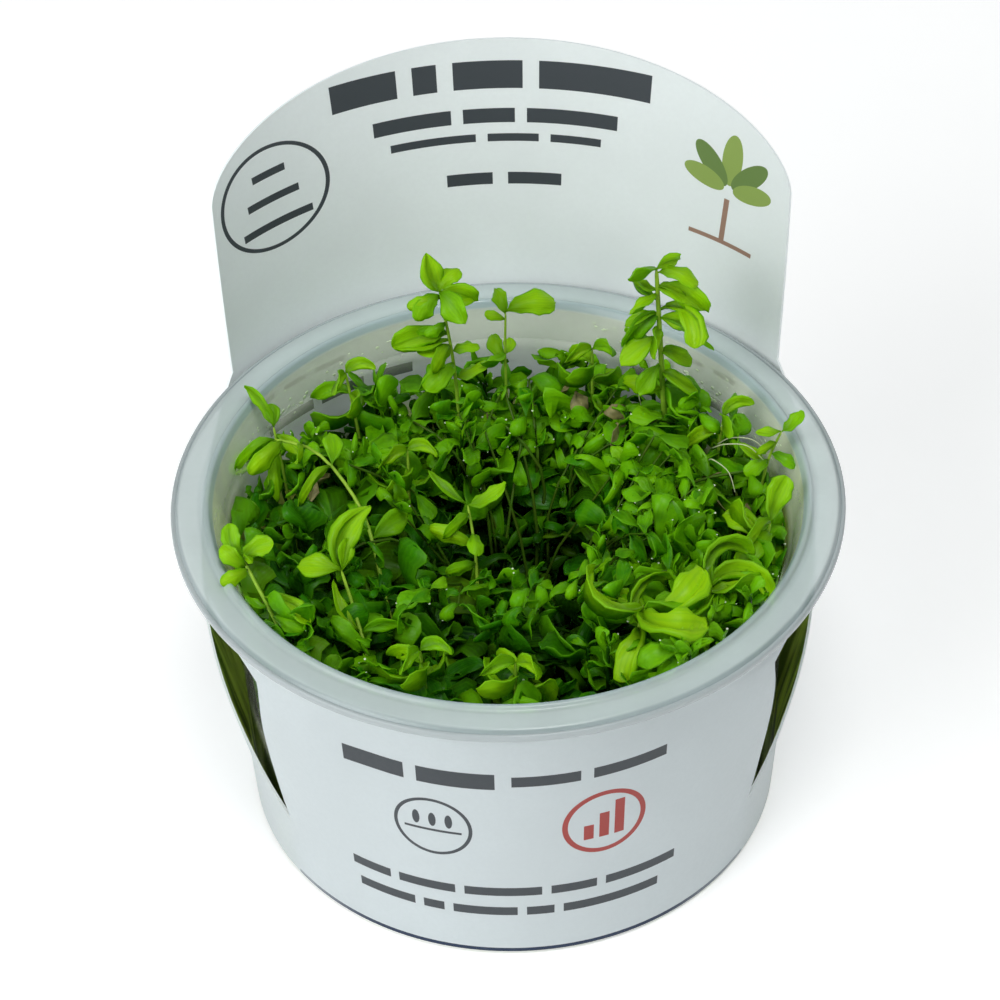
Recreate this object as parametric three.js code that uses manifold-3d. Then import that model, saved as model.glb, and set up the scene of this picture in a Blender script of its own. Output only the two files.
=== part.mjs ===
// Pearlweed in a round clear cup with a wrapped card sleeve.
// Millimetres, +Z up. The origin is the middle of the cup's underside, and the viewer stands
// on the -Y side, so the raised back panel of the sleeve is at +Y.

import * as THREE from 'three';
import { mergeVertices } from 'three/addons/utils/BufferGeometryUtils.js';
import { ConvexGeometry } from 'three/addons/geometries/ConvexGeometry.js';
import Module from 'manifold-3d';

const wasm = await Module();
wasm.setup();

// Gap kept between pieces that touch in the real object
const GAP = 0.3;

// Edges and steps smaller than this are dropped from a piece that was cut
const SLIVER = 0.03;

// Cup
const FLANGE_RADIUS = 50;
const FLANGE_TOP = 57;
const LIP_RADIUS = 44;
const FOOT_RADIUS = 39.4;
const FOOT_BEVEL = 0.6;
const WALL = 0.8;
const WALL_TAPER = 0.0493;
const FLOOR = 1.2;
const STEP_HEIGHT = 50;
const CUP_SIDES = 36;

// Card sleeve: heights, and angles in degrees round the cup from the back
const CARD = 0.4;
const SLEEVE_BOTTOM = 0.8;
const SLEEVE_FOOT_RADIUS = 40.8;
const SLEEVE_TAPER = 0.068;
const SLIT_TIP = 13;
const SLIT_ANGLE = 124;
const FRONT_TOP = 51;
const EAR_FLARE = 2.4;
const FLARE_END = 152;
const FLARE_HEIGHT = 45;
const SLIT_TURN = 1.7;
const SLIT_TURN_END = 40;
const PANEL_LEAN = 0.216;
const SHIELD_LEAN = 0.19;
const SHIELD_BASE = 57;
const SHIELD_BASE_ANGLE = 55;
const SHOULDER = 84;
const SHOULDER_ANGLE = 51;
const SHIELD_TOP = 97.3;
const PANEL_COLUMNS = 20;
const FRONT_COLUMNS = 12;

// Gel and plants
const GEL_TOP = 12;
const STEM_FOOT = GEL_TOP + GAP;
const HOLLOW = { x: 2, y: 6 };
const TUFTS = 10;
const TUFT_START = 2.5;
const TUFT_LEAVES = 9;
const CROWN_FRONT = 54.5;
const CROWN_BACK = 50;
const HOLLOW_DEPTH = 19;
const CROWN_REACH = 6;
const CROWN_VARIATION = 4;
const LEAF_START = 7;
const SLOPE_FRONT = 10;
const SLOPE_BACK = 38;
const HOLLOW_RADIUS = 6;
const HOLLOW_RIM = 22;
const ROOM_TOP = 64;
const ROOM_REACH = 60;
const ROOM_MARGIN = 1.2;
const LEAF_THICKNESS = 0.8;
const STEM_ROOM = 0.5;
const GOLDEN_ANGLE = 137.508;

const radians = THREE.MathUtils.degToRad;
const smooth = (x, low, high) => THREE.MathUtils.smoothstep(x, low, high);

// Repeatable variation between 0 and 1
function vary(seed) {
  const wave = Math.sin(seed * 12.9898) * 43758.5453;
  return wave - Math.floor(wave);
}

// A unit vector from a compass angle (0 is the back, 90 the right) and a rise above level
function heading(angle, rise) {
  const a = radians(angle);
  const r = radians(rise);
  return new THREE.Vector3(Math.sin(a) * Math.cos(r), Math.cos(a) * Math.cos(r), Math.sin(r));
}

// A closed geometry as a solid, turned right side out if it needs it
function solidOf(geometry) {
  const bare = geometry.clone();
  bare.deleteAttribute('normal');
  bare.deleteAttribute('uv');
  const merged = mergeVertices(bare, 1e-4);
  const vertProperties = new Float32Array(merged.attributes.position.array);
  const triVerts = new Uint32Array(merged.index.array);
  const corner = [0, 1, 2].map(() => new THREE.Vector3());
  let volume = 0;
  for (let i = 0; i < triVerts.length; i += 3) {
    corner.forEach((point, k) => point.fromArray(vertProperties, 3 * triVerts[i + k]));
    volume += corner[0].dot(corner[1].clone().cross(corner[2]));
  }
  if (volume < 0) triVerts.reverse();
  return new wasm.Manifold(new wasm.Mesh({ numProp: 3, vertProperties, triVerts }));
}

// The largest connected body of a solid, without the crumbs and slivers that a cut leaves
function largestBody(solid) {
  const bodies = solid.simplify(SLIVER).decompose();
  return bodies.reduce((best, body) => (body.volume() > best.volume() ? body : best));
}

function union(solids) {
  return solids.reduce((whole, solid) => whole.add(solid));
}

function geometryOf(solid) {
  const mesh = solid.getMesh();
  const geometry = new THREE.BufferGeometry();
  geometry.setAttribute('position', new THREE.BufferAttribute(mesh.vertProperties, 3));
  geometry.setIndex(new THREE.BufferAttribute(mesh.triVerts, 1));
  geometry.computeVertexNormals();
  return geometry;
}

// A profile of [radius, height] pairs turned about the upright axis
function turned(profile, sides) {
  const points = profile.map(([radius, height]) => new THREE.Vector2(radius, height));
  return new THREE.LatheGeometry(points, sides).rotateX(Math.PI / 2);
}

const wallRadius = (z) => FOOT_RADIUS + FOOT_BEVEL - WALL + WALL_TAPER * z;

function cupSolid() {
  const step = wallRadius(STEP_HEIGHT);
  return solidOf(turned([
    [0, 0],
    [FOOT_RADIUS, 0],
    [FOOT_RADIUS + FOOT_BEVEL, 0.7],
    [step + WALL, STEP_HEIGHT - 0.8],
    [step + WALL + 0.4, STEP_HEIGHT + 0.5],
    [LIP_RADIUS + 1, FLANGE_TOP - 0.9],
    [FLANGE_RADIUS - 1.2, FLANGE_TOP - 0.9],
    [FLANGE_RADIUS - 0.8, FLANGE_TOP - 1.8],
    [FLANGE_RADIUS, FLANGE_TOP - 1.6],
    [FLANGE_RADIUS, FLANGE_TOP - 0.4],
    [FLANGE_RADIUS - 0.5, FLANGE_TOP],
    [LIP_RADIUS + 1.9, FLANGE_TOP],
    [LIP_RADIUS + 1.5, FLANGE_TOP - 0.2],
    [LIP_RADIUS + 1.1, FLANGE_TOP + 0.4],
    [LIP_RADIUS + 0.4, FLANGE_TOP + 0.4],
    [LIP_RADIUS - 0.1, FLANGE_TOP - 0.2],
    [step + 0.7, STEP_HEIGHT + 1.2],
    [step, STEP_HEIGHT + 0.2],
    [wallRadius(FLOOR), FLOOR + 1],
    [wallRadius(FLOOR) - 0.9, FLOOR],
    [0, FLOOR],
  ], CUP_SIDES));
}

// Outline of the two slit edges as [angle from the back, height]
const PANEL_EDGE = [
  [SLIT_ANGLE, SLIT_TIP], [107, 26], [95, 32], [SHIELD_BASE_ANGLE, SHIELD_BASE],
];
const FRONT_EDGE = [
  [SLIT_ANGLE, SLIT_TIP], [121.5, 20], [122.8, 33], [125.8, 47], [120, 48.4], [108, FRONT_TOP],
];

function edgeAngle(edge, z) {
  const upper = edge.findIndex(([, height]) => height >= z);
  if (upper <= 0) return edge[0][0];
  const [a, from] = edge[upper - 1];
  const [b, to] = edge[upper];
  return a + (b - a) * (z - from) / (to - from);
}

const sleeveCone = (z) => SLEEVE_FOOT_RADIUS + SLEEVE_TAPER * z;

// The panel leans out from the slit tips upwards, a little less above the rim
function panelRadius(z) {
  const low = Math.min(z, SHIELD_BASE);
  const lean = PANEL_LEAN * Math.max(0, low - SLIT_TIP) + SHIELD_LEAN * Math.max(0, z - SHIELD_BASE);
  return sleeveCone(Math.min(z, SLIT_TIP)) + lean;
}

// The front springs outwards beside the slits
function frontRadius(angle, z) {
  const beside = 1 - smooth(Math.abs(angle), SLIT_ANGLE, FLARE_END);
  return sleeveCone(z) + EAR_FLARE * beside * smooth(z, SLIT_TIP, FLARE_HEIGHT);
}

// Below the rim the sleeve sits turned a little, so the left slit is nearer to the front
const sleeveTurn = (z) => SLIT_TURN * (1 - smooth(z, SLIT_TURN_END, SHIELD_BASE));

// Rows of [angle, height, radius] for the back panel, from the bottom edge to the shield's top
function panelRows() {
  const share = Array.from({ length: PANEL_COLUMNS + 1 }, (_, i) => 2 * i / PANEL_COLUMNS - 1);
  const level = (z) => share.map((s) => (
    [s * edgeAngle(PANEL_EDGE, z) - sleeveTurn(z), z, panelRadius(z)]
  ));
  const rows = [SLEEVE_BOTTOM, SLIT_TIP, 26, 32, 45, SHIELD_BASE].map(level);
  for (const rise of [0.35, 0.7, 1]) {
    rows.push(share.map((s) => {
      const turn = s * Math.PI / 2;
      const top = SHOULDER + (SHIELD_TOP - SHOULDER) * Math.cos(turn);
      const z = SHIELD_BASE + rise * (top - SHIELD_BASE);
      const low = s * SHIELD_BASE_ANGLE;
      return [low + rise * (SHOULDER_ANGLE * Math.sin(turn) - low), z, panelRadius(z)];
    }));
  }
  return rows;
}

// Rows for the front, from one slit edge round to the other
function frontRows() {
  return [SLEEVE_BOTTOM, ...FRONT_EDGE.map(([, z]) => z)].map((z) => {
    const edge = edgeAngle(FRONT_EDGE, z);
    return Array.from({ length: FRONT_COLUMNS + 1 }, (_, i) => {
      const angle = edge + 2 * (180 - edge) * i / FRONT_COLUMNS;
      const fromBack = angle > 180 ? angle - 360 : angle;
      return [fromBack - sleeveTurn(z), z, frontRadius(fromBack, z)];
    });
  });
}

// The card: both surfaces of the panel and the front, walled along every free edge
function sleeveSolid() {
  const outer = [];
  const seen = new Map();
  const indexOf = ([angle, z, radius]) => {
    const key = `${angle.toFixed(3)} ${z.toFixed(3)}`;
    if (!seen.has(key)) {
      seen.set(key, outer.length);
      outer.push([angle, z, radius]);
    }
    return seen.get(key);
  };
  const cells = [];
  for (const rows of [panelRows(), frontRows()]) {
    for (let r = 0; r + 1 < rows.length; r += 1) {
      for (let c = 0; c + 1 < rows[r].length; c += 1) {
        const cell = [rows[r][c], rows[r][c + 1], rows[r + 1][c + 1], rows[r + 1][c]];
        cells.push(cell.map(indexOf));
      }
    }
  }
  const count = outer.length;
  const place = (depth) => outer.flatMap(([angle, z, radius]) => {
    const a = radians(angle);
    return [(radius - depth) * Math.sin(a), (radius - depth) * Math.cos(a), z];
  });
  const edges = new Map();
  const triangles = [];
  for (const [a, b, c, d] of cells) {
    triangles.push(a, b, c, a, c, d);
    triangles.push(a + count, c + count, b + count, a + count, d + count, c + count);
    for (const [from, to] of [[a, b], [b, c], [c, d], [d, a]]) {
      if (edges.has(`${to} ${from}`)) edges.delete(`${to} ${from}`);
      else edges.set(`${from} ${to}`, [from, to]);
    }
  }
  for (const [from, to] of edges.values()) {
    triangles.push(to, from, from + count, to, from + count, to + count);
  }
  const geometry = new THREE.BufferGeometry();
  const positions = [...place(0), ...place(CARD)];
  geometry.setAttribute('position', new THREE.Float32BufferAttribute(positions, 3));
  geometry.setIndex(triangles);
  return solidOf(geometry);
}

function gelSolid() {
  const low = FLOOR + GAP;
  return solidOf(turned([
    [0, low],
    [wallRadius(low) - 1.8, low],
    [wallRadius(low + 1.5) - 2 * GAP, low + 1.5],
    [wallRadius(GEL_TOP) - 2 * GAP, GEL_TOP],
    [0, GEL_TOP],
  ], CUP_SIDES));
}

// One leaf: pointed at both ends, widest past the middle, bent along its length.
// With extra it is the room that the leaf needs round it, which has blunt ends.
function leafSolid(base, angle, rise, length, width, bend, extra = 0) {
  const stations = [[0, 0], [0.4, 0.9], [0.72, 0.85], [1, 0]];
  const side = heading(angle + 90, 0);
  const positions = [];
  const point = base.clone().addScaledVector(heading(angle, rise), -extra);
  const rings = stations.map(([along, spread], k) => {
    const pitch = rise - bend * along;
    const before = k > 0 ? stations[k - 1][0] : 0;
    point.addScaledVector(heading(angle, pitch), (along - before) * (length + 2 * extra));
    const across = side.clone().multiplyScalar(spread * width / 2 + extra);
    const up = heading(angle, pitch + 90).multiplyScalar(spread * LEAF_THICKNESS / 2 + 3 * extra);
    const blunt = spread > 0 || extra > 0;
    const corners = blunt ? [across, up, across.clone().negate(), up.clone().negate()] : [up];
    return corners.map((offset) => {
      positions.push(...point.clone().add(offset).toArray());
      return positions.length / 3 - 1;
    });
  });
  const triangles = [];
  for (let k = 0; k + 1 < rings.length; k += 1) {
    for (let c = 0; c < 4; c += 1) {
      const [a, b] = [c, (c + 1) % 4].map((i) => rings[k][i % rings[k].length]);
      const [d, e] = [c, (c + 1) % 4].map((i) => rings[k + 1][i % rings[k + 1].length]);
      if (a !== b) triangles.push(a, b, e);
      if (d !== e) triangles.push(a, e, d);
    }
  }
  if (extra > 0) {
    const [first, last] = [rings[0], rings[rings.length - 1]];
    triangles.push(first[0], first[2], first[1], first[0], first[3], first[2]);
    triangles.push(last[0], last[1], last[2], last[0], last[2], last[3]);
  }
  const geometry = new THREE.BufferGeometry();
  geometry.setAttribute('position', new THREE.Float32BufferAttribute(positions, 3));
  geometry.setIndex(triangles);
  return solidOf(geometry);
}

// Opposite pairs of leaves up a stem, each pair turned a quarter from the one below
function pairs(count, from, size, firstAngle) {
  const leaves = [];
  for (let k = 0; k < count; k += 1) {
    const along = from + (1 - from) * k / Math.max(1, count - 1);
    const length = size * (k === count - 1 ? 0.8 : 1);
    for (const turn of [0, 180]) {
      const rise = 20 + 30 * (k === count - 1 ? 1 : 0);
      leaves.push([along, firstAngle + 90 * k + turn, rise, length, length * 0.55, 50]);
    }
  }
  return leaves;
}

// Stems that can be told apart. Each has its thickness, its route from the foot in the gel to
// the tip, and its leaves as [share of the route, angle, rise, length, width, bend].
const STEMS = [
  {
    name: 'stem_back_right', thick: 1.7,
    route: [[26, 25, STEM_FOOT], [25.3, 24.5, 34], [24, 23, 58], [22.8, 21.8, 81]],
    leaves: [
      [1, 205, 55, 6, 4.6, 60], [0.98, 75, 40, 6, 2.6, 40], [0.93, 95, 15, 8, 3.8, 40],
      [0.92, 265, 30, 5.5, 4, 40], [0.85, 95, 35, 9, 3.2, 110], [0.84, 255, 10, 8, 4.6, 30],
      [0.58, 262, 15, 8, 4, 20], [0.55, 240, -10, 7, 3.6, 20], [0.5, 235, 0, 9, 3.4, 110],
    ],
  },
  {
    name: 'stem_back_left', thick: 1.1,
    route: [[-6, 29, STEM_FOOT], [-7.2, 28.5, 45], [-8, 28, 60], [-9.6, 27.5, 73]],
    leaves: [
      [1, 290, 70, 7, 4, 40], [1, 110, 35, 6, 4.5, 60], [0.95, 240, 0, 7, 4, 30],
      [0.86, 262, 15, 9, 5.5, 30], [0.82, 120, 5, 6, 4, 60], [0.75, 255, -5, 8, 5, 40],
    ],
  },
  {
    name: 'stem_back_middle', thick: 0.9,
    route: [[0, 31, STEM_FOOT], [0.2, 31, 45], [0.1, 31, 58], [0.3, 31, 66]],
    leaves: [
      [1, 95, 40, 9, 4.6, 55], [1, 275, 60, 5, 3, 60], [0.8, 200, 30, 7, 4.6, 30],
      [0.78, 30, 30, 5, 3, 30],
    ],
  },
  {
    name: 'stem_right', thick: 1,
    route: [[36, 9, STEM_FOOT], [38, 8.5, 45], [39.5, 8, 56], [41, 7.5, 61]],
    leaves: [[1, 75, 35, 5, 3.6, 20], [1, 230, 40, 5, 3, 40], [0.85, 300, 30, 6, 3, 30]],
  },
  {
    name: 'stem_left_back', thick: 1,
    route: [[-32, 15, STEM_FOOT], [-34, 16, 45], [-35.4, 18, 55]],
    leaves: [
      [1, 320, 65, 9, 3.4, 20], [1, 140, 30, 6, 3.2, 30], [0.85, 210, 30, 6, 3.4, 40],
    ],
  },
  {
    name: 'stem_arching', thick: 1.1,
    route: [[-16, -10, STEM_FOOT], [-18.4, -9, 43], [-23, 4, 53], [-30, 11, 57], [-35, 13, 57]],
    leaves: [
      [1, 275, 0, 7, 4.2, 60], [0.97, 200, 10, 7, 3.6, 50], [0.8, 20, 35, 6, 3.4, 50],
      [0.62, 70, 25, 5, 3, 60],
    ],
  },
  {
    name: 'stem_pointed_leaf', thick: 1.2,
    route: [[-17, -24, STEM_FOOT], [-20.2, -26, 45], [-22.6, -19, 51], [-24.6, -13, 54]],
    leaves: [
      [1, 345, 30, 12, 6, 25], [1, 255, 25, 8, 5, 40], [0.85, 300, 20, 6, 3.4, 40],
      [0.83, 80, 10, 7, 4, 60],
    ],
  },
  {
    name: 'stem_lip_left', thick: 1.2,
    route: [[-28, -20, STEM_FOOT], [-31.5, -25, 48], [-35.5, -20, 55], [-38.6, -15, 58.5]],
    leaves: [
      [1, 300, 35, 8, 4.4, 40], [1, 15, 40, 8, 4.6, 20], [0.93, 60, 20, 6, 3.4, 30],
      [0.9, 215, 20, 5, 3, 40],
    ],
  },
  {
    name: 'stem_centre', thick: 1,
    route: [[-4, -8, STEM_FOOT], [-4.8, -8, 40], [-5.2, -3, 50], [-6, 0.5, 54]],
    leaves: [
      [1, 85, 10, 8, 4.4, 20], [1, 290, 20, 6, 3.6, 60], [0.88, 180, 10, 6, 3.4, 60],
      [0.8, 20, 20, 6, 3.4, 60],
    ],
  },
  {
    name: 'stem_broad_front', thick: 1.3,
    route: [[16, -20, STEM_FOOT], [18, -23, 46], [19, -25, 57]],
    leaves: [
      [1, 270, 30, 9, 5.6, 90], [1, 100, 30, 9, 5.4, 70], [0.88, 180, 35, 9, 6, 80],
      [0.88, 10, 40, 8, 5, 60],
    ],
  },
  {
    name: 'stem_broad_right', thick: 1.3,
    route: [[25, -15, STEM_FOOT], [27.5, -19, 46], [29, -21, 57]],
    leaves: [
      [1, 315, 40, 9, 5, 90], [1, 130, 25, 8, 5, 60], [0.87, 45, 30, 8, 5, 60],
      [0.87, 225, 20, 7, 4.4, 60],
    ],
  },
  {
    name: 'stem_right_bright', thick: 1,
    route: [[35, -4, STEM_FOOT], [37.5, -5, 46], [38.6, -6, 55]],
    leaves: [[1, 40, 35, 8, 4, -30], [1, 250, 30, 6, 3.6, 60], [0.87, 330, 30, 7, 4, 50]],
  },
  {
    name: 'stem_front_middle', thick: 1,
    route: [[0, -30, STEM_FOOT], [0.4, -33, 46], [0.5, -35, 56]],
    leaves: pairs(2, 0.88, 7, 95),
  },
  {
    name: 'stem_front_left', thick: 1,
    route: [[-12, -27, STEM_FOOT], [-12.5, -30, 46], [-13, -32, 56]],
    leaves: pairs(2, 0.88, 7, 60),
  },
  {
    name: 'stem_back_far_left', thick: 1,
    route: [[-22, 26, STEM_FOOT], [-23, 27, 45], [-24.5, 28, 57]],
    leaves: pairs(2, 0.86, 7, 40),
  },
  {
    name: 'stem_back_low', thick: 1,
    route: [[13, 30, STEM_FOOT], [13.5, 30.5, 45], [13.5, 30, 59]],
    leaves: pairs(3, 0.8, 6.5, 80),
  },
  {
    name: 'stem_right_back', thick: 1,
    route: [[31, 17, STEM_FOOT], [32, 17, 45], [33, 16, 57]],
    leaves: pairs(2, 0.86, 6.5, 20),
  },
  {
    name: 'stem_middle_left', thick: 1,
    route: [[-14, 8, STEM_FOOT], [-15, 9, 42], [-15, 12, 55]],
    leaves: pairs(2, 0.88, 7, 70),
  },
];

function stemSolid({ thick, route, leaves }, extra = 0) {
  const curve = new THREE.CatmullRomCurve3(route.map((point) => new THREE.Vector3(...point)));
  const section = new THREE.Shape(Array.from({ length: 5 }, (_, i) => {
    const a = 2 * Math.PI * i / 5;
    const radius = thick / 2 + extra;
    return new THREE.Vector2(radius * Math.cos(a), radius * Math.sin(a));
  }));
  const options = { steps: 4, extrudePath: curve, bevelEnabled: false };
  const tube = solidOf(new THREE.ExtrudeGeometry(section, options));
  const blades = leaves.map(([along, angle, rise, length, width, bend]) => {
    const base = curve.getPointAt(Math.min(along, 0.995));
    return leafSolid(base, angle, rise, length, width, bend, extra);
  });
  return union([tube, ...blades]);
}

// Height of the mass of leaves: a hollow off the middle, full at the front, lower at the back
function tuftTop(x, y) {
  const out = Math.hypot(x - HOLLOW.x, y - HOLLOW.y);
  const rim = CROWN_FRONT - (CROWN_FRONT - CROWN_BACK) * smooth(y, SLOPE_FRONT, SLOPE_BACK);
  return rim - HOLLOW_DEPTH * (1 - smooth(out, HOLLOW_RADIUS, HOLLOW_RIM));
}

// The point at a share of the way from the hollow's edge to the cup's wall
function tuftPoint(angle, share, z) {
  const way = heading(angle, 0);
  const limit = wallRadius(Math.min(z, STEP_HEIGHT)) - 3 * GAP;
  const along = way.x * HOLLOW.x + way.y * HOLLOW.y;
  const reach = Math.sqrt(limit ** 2 - HOLLOW.x ** 2 - HOLLOW.y ** 2 + along ** 2) - along;
  const out = TUFT_START + share * (reach - TUFT_START);
  return new THREE.Vector3(HOLLOW.x + out * way.x, HOLLOW.y + out * way.y, z);
}

// A wedge of the room inside the cup that one tuft keeps to
function tuftRoom(from, to) {
  const corners = [];
  for (const z of [STEM_FOOT, ROOM_TOP]) {
    const middle = heading((from + to) / 2, 0).multiplyScalar(TUFT_START - 1);
    corners.push(new THREE.Vector3(HOLLOW.x + middle.x, HOLLOW.y + middle.y, z));
    for (const angle of [from, to]) {
      const far = heading(angle, 0).multiplyScalar(ROOM_REACH);
      corners.push(new THREE.Vector3(HOLLOW.x + middle.x + far.x, HOLLOW.y + middle.y + far.y, z));
    }
  }
  const bore = turned([
    [0, STEM_FOOT],
    [wallRadius(STEM_FOOT) - 2 * GAP, STEM_FOOT],
    [wallRadius(STEP_HEIGHT) - 2 * GAP, STEP_HEIGHT],
    [LIP_RADIUS - ROOM_MARGIN, ROOM_TOP],
    [0, ROOM_TOP],
  ], CUP_SIDES);
  return solidOf(new ConvexGeometry(corners)).intersect(solidOf(bore));
}

// Whether the crown of one of the single stems already fills this place
function nearStem(place) {
  return STEMS.some(({ route }) => {
    const [x, y] = route[route.length - 1];
    return Math.hypot(place.x - x, place.y - y) < CROWN_REACH;
  });
}

// A bunch of stems seen as one body, with the leaves that stick out of its top
function tuftSolid(index, stemRoom) {
  const span = 360 / TUFTS;
  const from = index * span + 1;
  const to = (index + 1) * span - 1;
  const corners = [];
  for (const angle of [from + 1, (from + to) / 2, to - 1]) {
    for (const share of [0, 0.35, 0.7, 1]) {
      const low = tuftPoint(angle, share, STEM_FOOT);
      const top = tuftPoint(angle, share, STEP_HEIGHT);
      const dip = CROWN_VARIATION * (2 - vary(index * 7 + angle + share));
      corners.push(low, top.setZ(tuftTop(top.x, top.y) - dip));
    }
  }
  const leaves = Array.from({ length: TUFT_LEAVES }, (_, i) => {
    const seed = index * TUFT_LEAVES + i;
    const angle = from + 4 + (to - from - 8) * vary(seed + 0.5);
    const place = tuftPoint(angle, 0.15 + 0.8 * (i + 0.5) / TUFT_LEAVES, STEP_HEIGHT);
    place.setZ(tuftTop(place.x, place.y) - LEAF_START);
    const length = 10 + 4 * vary(seed + 0.7);
    const rise = 50 + 30 * vary(seed + 0.9);
    return { place, angle: seed * GOLDEN_ANGLE, rise, length };
  }).filter(({ place }) => !nearStem(place)).map(({ place, angle, rise, length }) => (
    leafSolid(place, angle, rise, length, length * 0.5, 60)
  ));
  const whole = union([solidOf(new ConvexGeometry(corners)), ...leaves]);
  return largestBody(whole.intersect(tuftRoom(from, to)).subtract(stemRoom));
}

const finishes = {
  cup: { color: 0xc9dcd6, roughness: 0.3, metalness: 0, transparent: true, opacity: 0.45 },
  card: { color: 0xcfdee4, roughness: 0.6, metalness: 0 },
  gel: { color: 0xd8d3b4, roughness: 0.2, metalness: 0, transparent: true, opacity: 0.6 },
  tuft: { color: 0x2f6a0c, roughness: 0.55, metalness: 0 },
  stem: { color: 0x7fae1c, roughness: 0.45, metalness: 0 },
};

const plant = new THREE.Group();

function addPiece(name, solid, finish) {
  const material = new THREE.MeshStandardMaterial(finishes[finish]);
  const mesh = new THREE.Mesh(geometryOf(solid), material);
  mesh.name = name;
  plant.add(mesh);
}

addPiece('cup', cupSolid(), 'cup');
addPiece('label_sleeve', sleeveSolid(), 'card');
addPiece('nutrient_gel', gelSolid(), 'gel');

// Each stem keeps clear of the cup and of the stems before it
const cupRoom = cupSolid();
let stemRoom = null;
for (const stem of STEMS) {
  const clear = stemRoom ? stemSolid(stem).subtract(stemRoom) : stemSolid(stem);
  addPiece(stem.name, largestBody(clear.subtract(cupRoom)), 'stem');
  const room = stemSolid(stem, STEM_ROOM);
  stemRoom = stemRoom ? stemRoom.add(room) : room;
}
for (let i = 0; i < TUFTS; i += 1) {
  addPiece(`tuft_${String(i + 1).padStart(2, '0')}`, tuftSolid(i, stemRoom), 'tuft');
}

export default plant;
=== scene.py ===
"""Pearlweed in a round clear cup with a wrapped card sleeve, laid out as a Blender add-on."""

from functools import reduce
from math import atan2, cos, degrees, hypot, pi, radians, sin

import bmesh
import bpy
import numpy as np
from bpy.props import FloatProperty, FloatVectorProperty, IntProperty, PointerProperty
from mathutils import Matrix, Vector


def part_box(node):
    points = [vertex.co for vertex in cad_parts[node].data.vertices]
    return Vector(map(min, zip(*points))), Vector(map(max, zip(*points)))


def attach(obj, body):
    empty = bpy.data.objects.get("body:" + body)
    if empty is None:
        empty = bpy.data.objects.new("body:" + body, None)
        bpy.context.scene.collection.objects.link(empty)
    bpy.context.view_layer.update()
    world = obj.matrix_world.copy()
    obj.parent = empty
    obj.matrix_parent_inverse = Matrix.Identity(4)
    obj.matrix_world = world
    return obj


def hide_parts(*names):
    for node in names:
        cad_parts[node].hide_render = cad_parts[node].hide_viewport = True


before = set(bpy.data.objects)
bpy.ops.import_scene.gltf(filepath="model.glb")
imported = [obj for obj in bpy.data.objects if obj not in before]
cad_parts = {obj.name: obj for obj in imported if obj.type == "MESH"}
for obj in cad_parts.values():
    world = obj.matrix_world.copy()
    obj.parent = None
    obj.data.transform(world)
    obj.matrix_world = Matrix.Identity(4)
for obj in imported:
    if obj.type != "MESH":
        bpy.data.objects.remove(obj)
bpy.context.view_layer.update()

bl_info = {
    "name": "Pearlweed Cup",
    "version": (1, 0, 0),
    "blender": (4, 5, 0),
    "location": "View3D > Sidebar > Pearlweed",
    "description": "Builds a clear cup of pearlweed with its card sleeve, piece by piece",
    "category": "Object",
}

MM = 0.001
BODY = "root"
CUP_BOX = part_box("cup")
GEL_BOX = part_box("nutrient_gel")
SLEEVE_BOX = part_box("label_sleeve")
FLANGE_RADIUS = CUP_BOX[1][0]
RIM_TOP = CUP_BOX[1][2]
GEL_TOP = GEL_BOX[1][2]
FOOT_FLARE = 0.6 * MM


def length_of(name, description, millimetres):
    return FloatProperty(name=name, description=description, default=millimetres * MM, unit="LENGTH")


def angle_of(name, description, turn):
    return FloatProperty(name=name, description=description, default=radians(turn), subtype="ANGLE")


def number_of(name, description, default, kind=FloatProperty):
    return kind(name=name, description=description, default=default)


def colour_of(name, description, default):
    return FloatVectorProperty(name=name, description=description, default=default, subtype="COLOR")


class CupSettings(bpy.types.PropertyGroup):
    """Sizes and colour of the clear cup"""

    lip_radius: length_of("Lip Radius", "From the axis to the inner edge of the flange", 44)
    foot_radius: length_of("Foot Radius", "From the axis to the edge of the flat foot", 39.4)
    wall: length_of("Wall", "Thickness of the wall", 0.8)
    taper: number_of("Taper", "Growth of the wall's radius with height", 0.0493)
    floor: length_of("Floor", "Thickness of the floor", 1.2)
    step_height: length_of("Step Height", "Height of the ring where the wall steps out to the lip", 50)
    flange_drop: length_of("Flange Drop", "From the top of the lip bead to the flat of the flange", 0.4)
    sides: number_of("Sides", "Faces round the cup", 144, IntProperty)
    colour: colour_of("Plastic", "Tint of the clear plastic", (0.58, 0.68, 0.675))


class SleeveSettings(bpy.types.PropertyGroup):
    """Sizes and colours of the card sleeve"""

    card: length_of("Card", "Thickness of the card", 0.4)
    foot_radius: length_of("Foot Radius", "Outer radius where the cone would meet the table", 40.8)
    taper: number_of("Taper", "Growth of the radius with height", 0.068)
    slit_tip: length_of("Slit Tip", "Height where both slits start", 13)
    front_top: length_of("Front Top", "Height of the front's upper edge", 51)
    ear_flare: length_of("Ear Flare", "How far the front springs out beside the slits", 2.4)
    panel_lean: number_of("Panel Lean", "Outward lean of the back panel below the rim", 0.216)
    shield_lean: number_of("Shield Lean", "Outward lean of the back panel above the rim", 0.19)
    colour: colour_of("Card Colour", "Coated face of the card", (0.69, 0.755, 0.775))
    inner_colour: colour_of("Inner Card Colour", "Brighter inner face of the card", (0.92, 0.97, 0.97))
    ink: colour_of("Ink", "Dark printing ink", (0.055, 0.065, 0.075))


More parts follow.
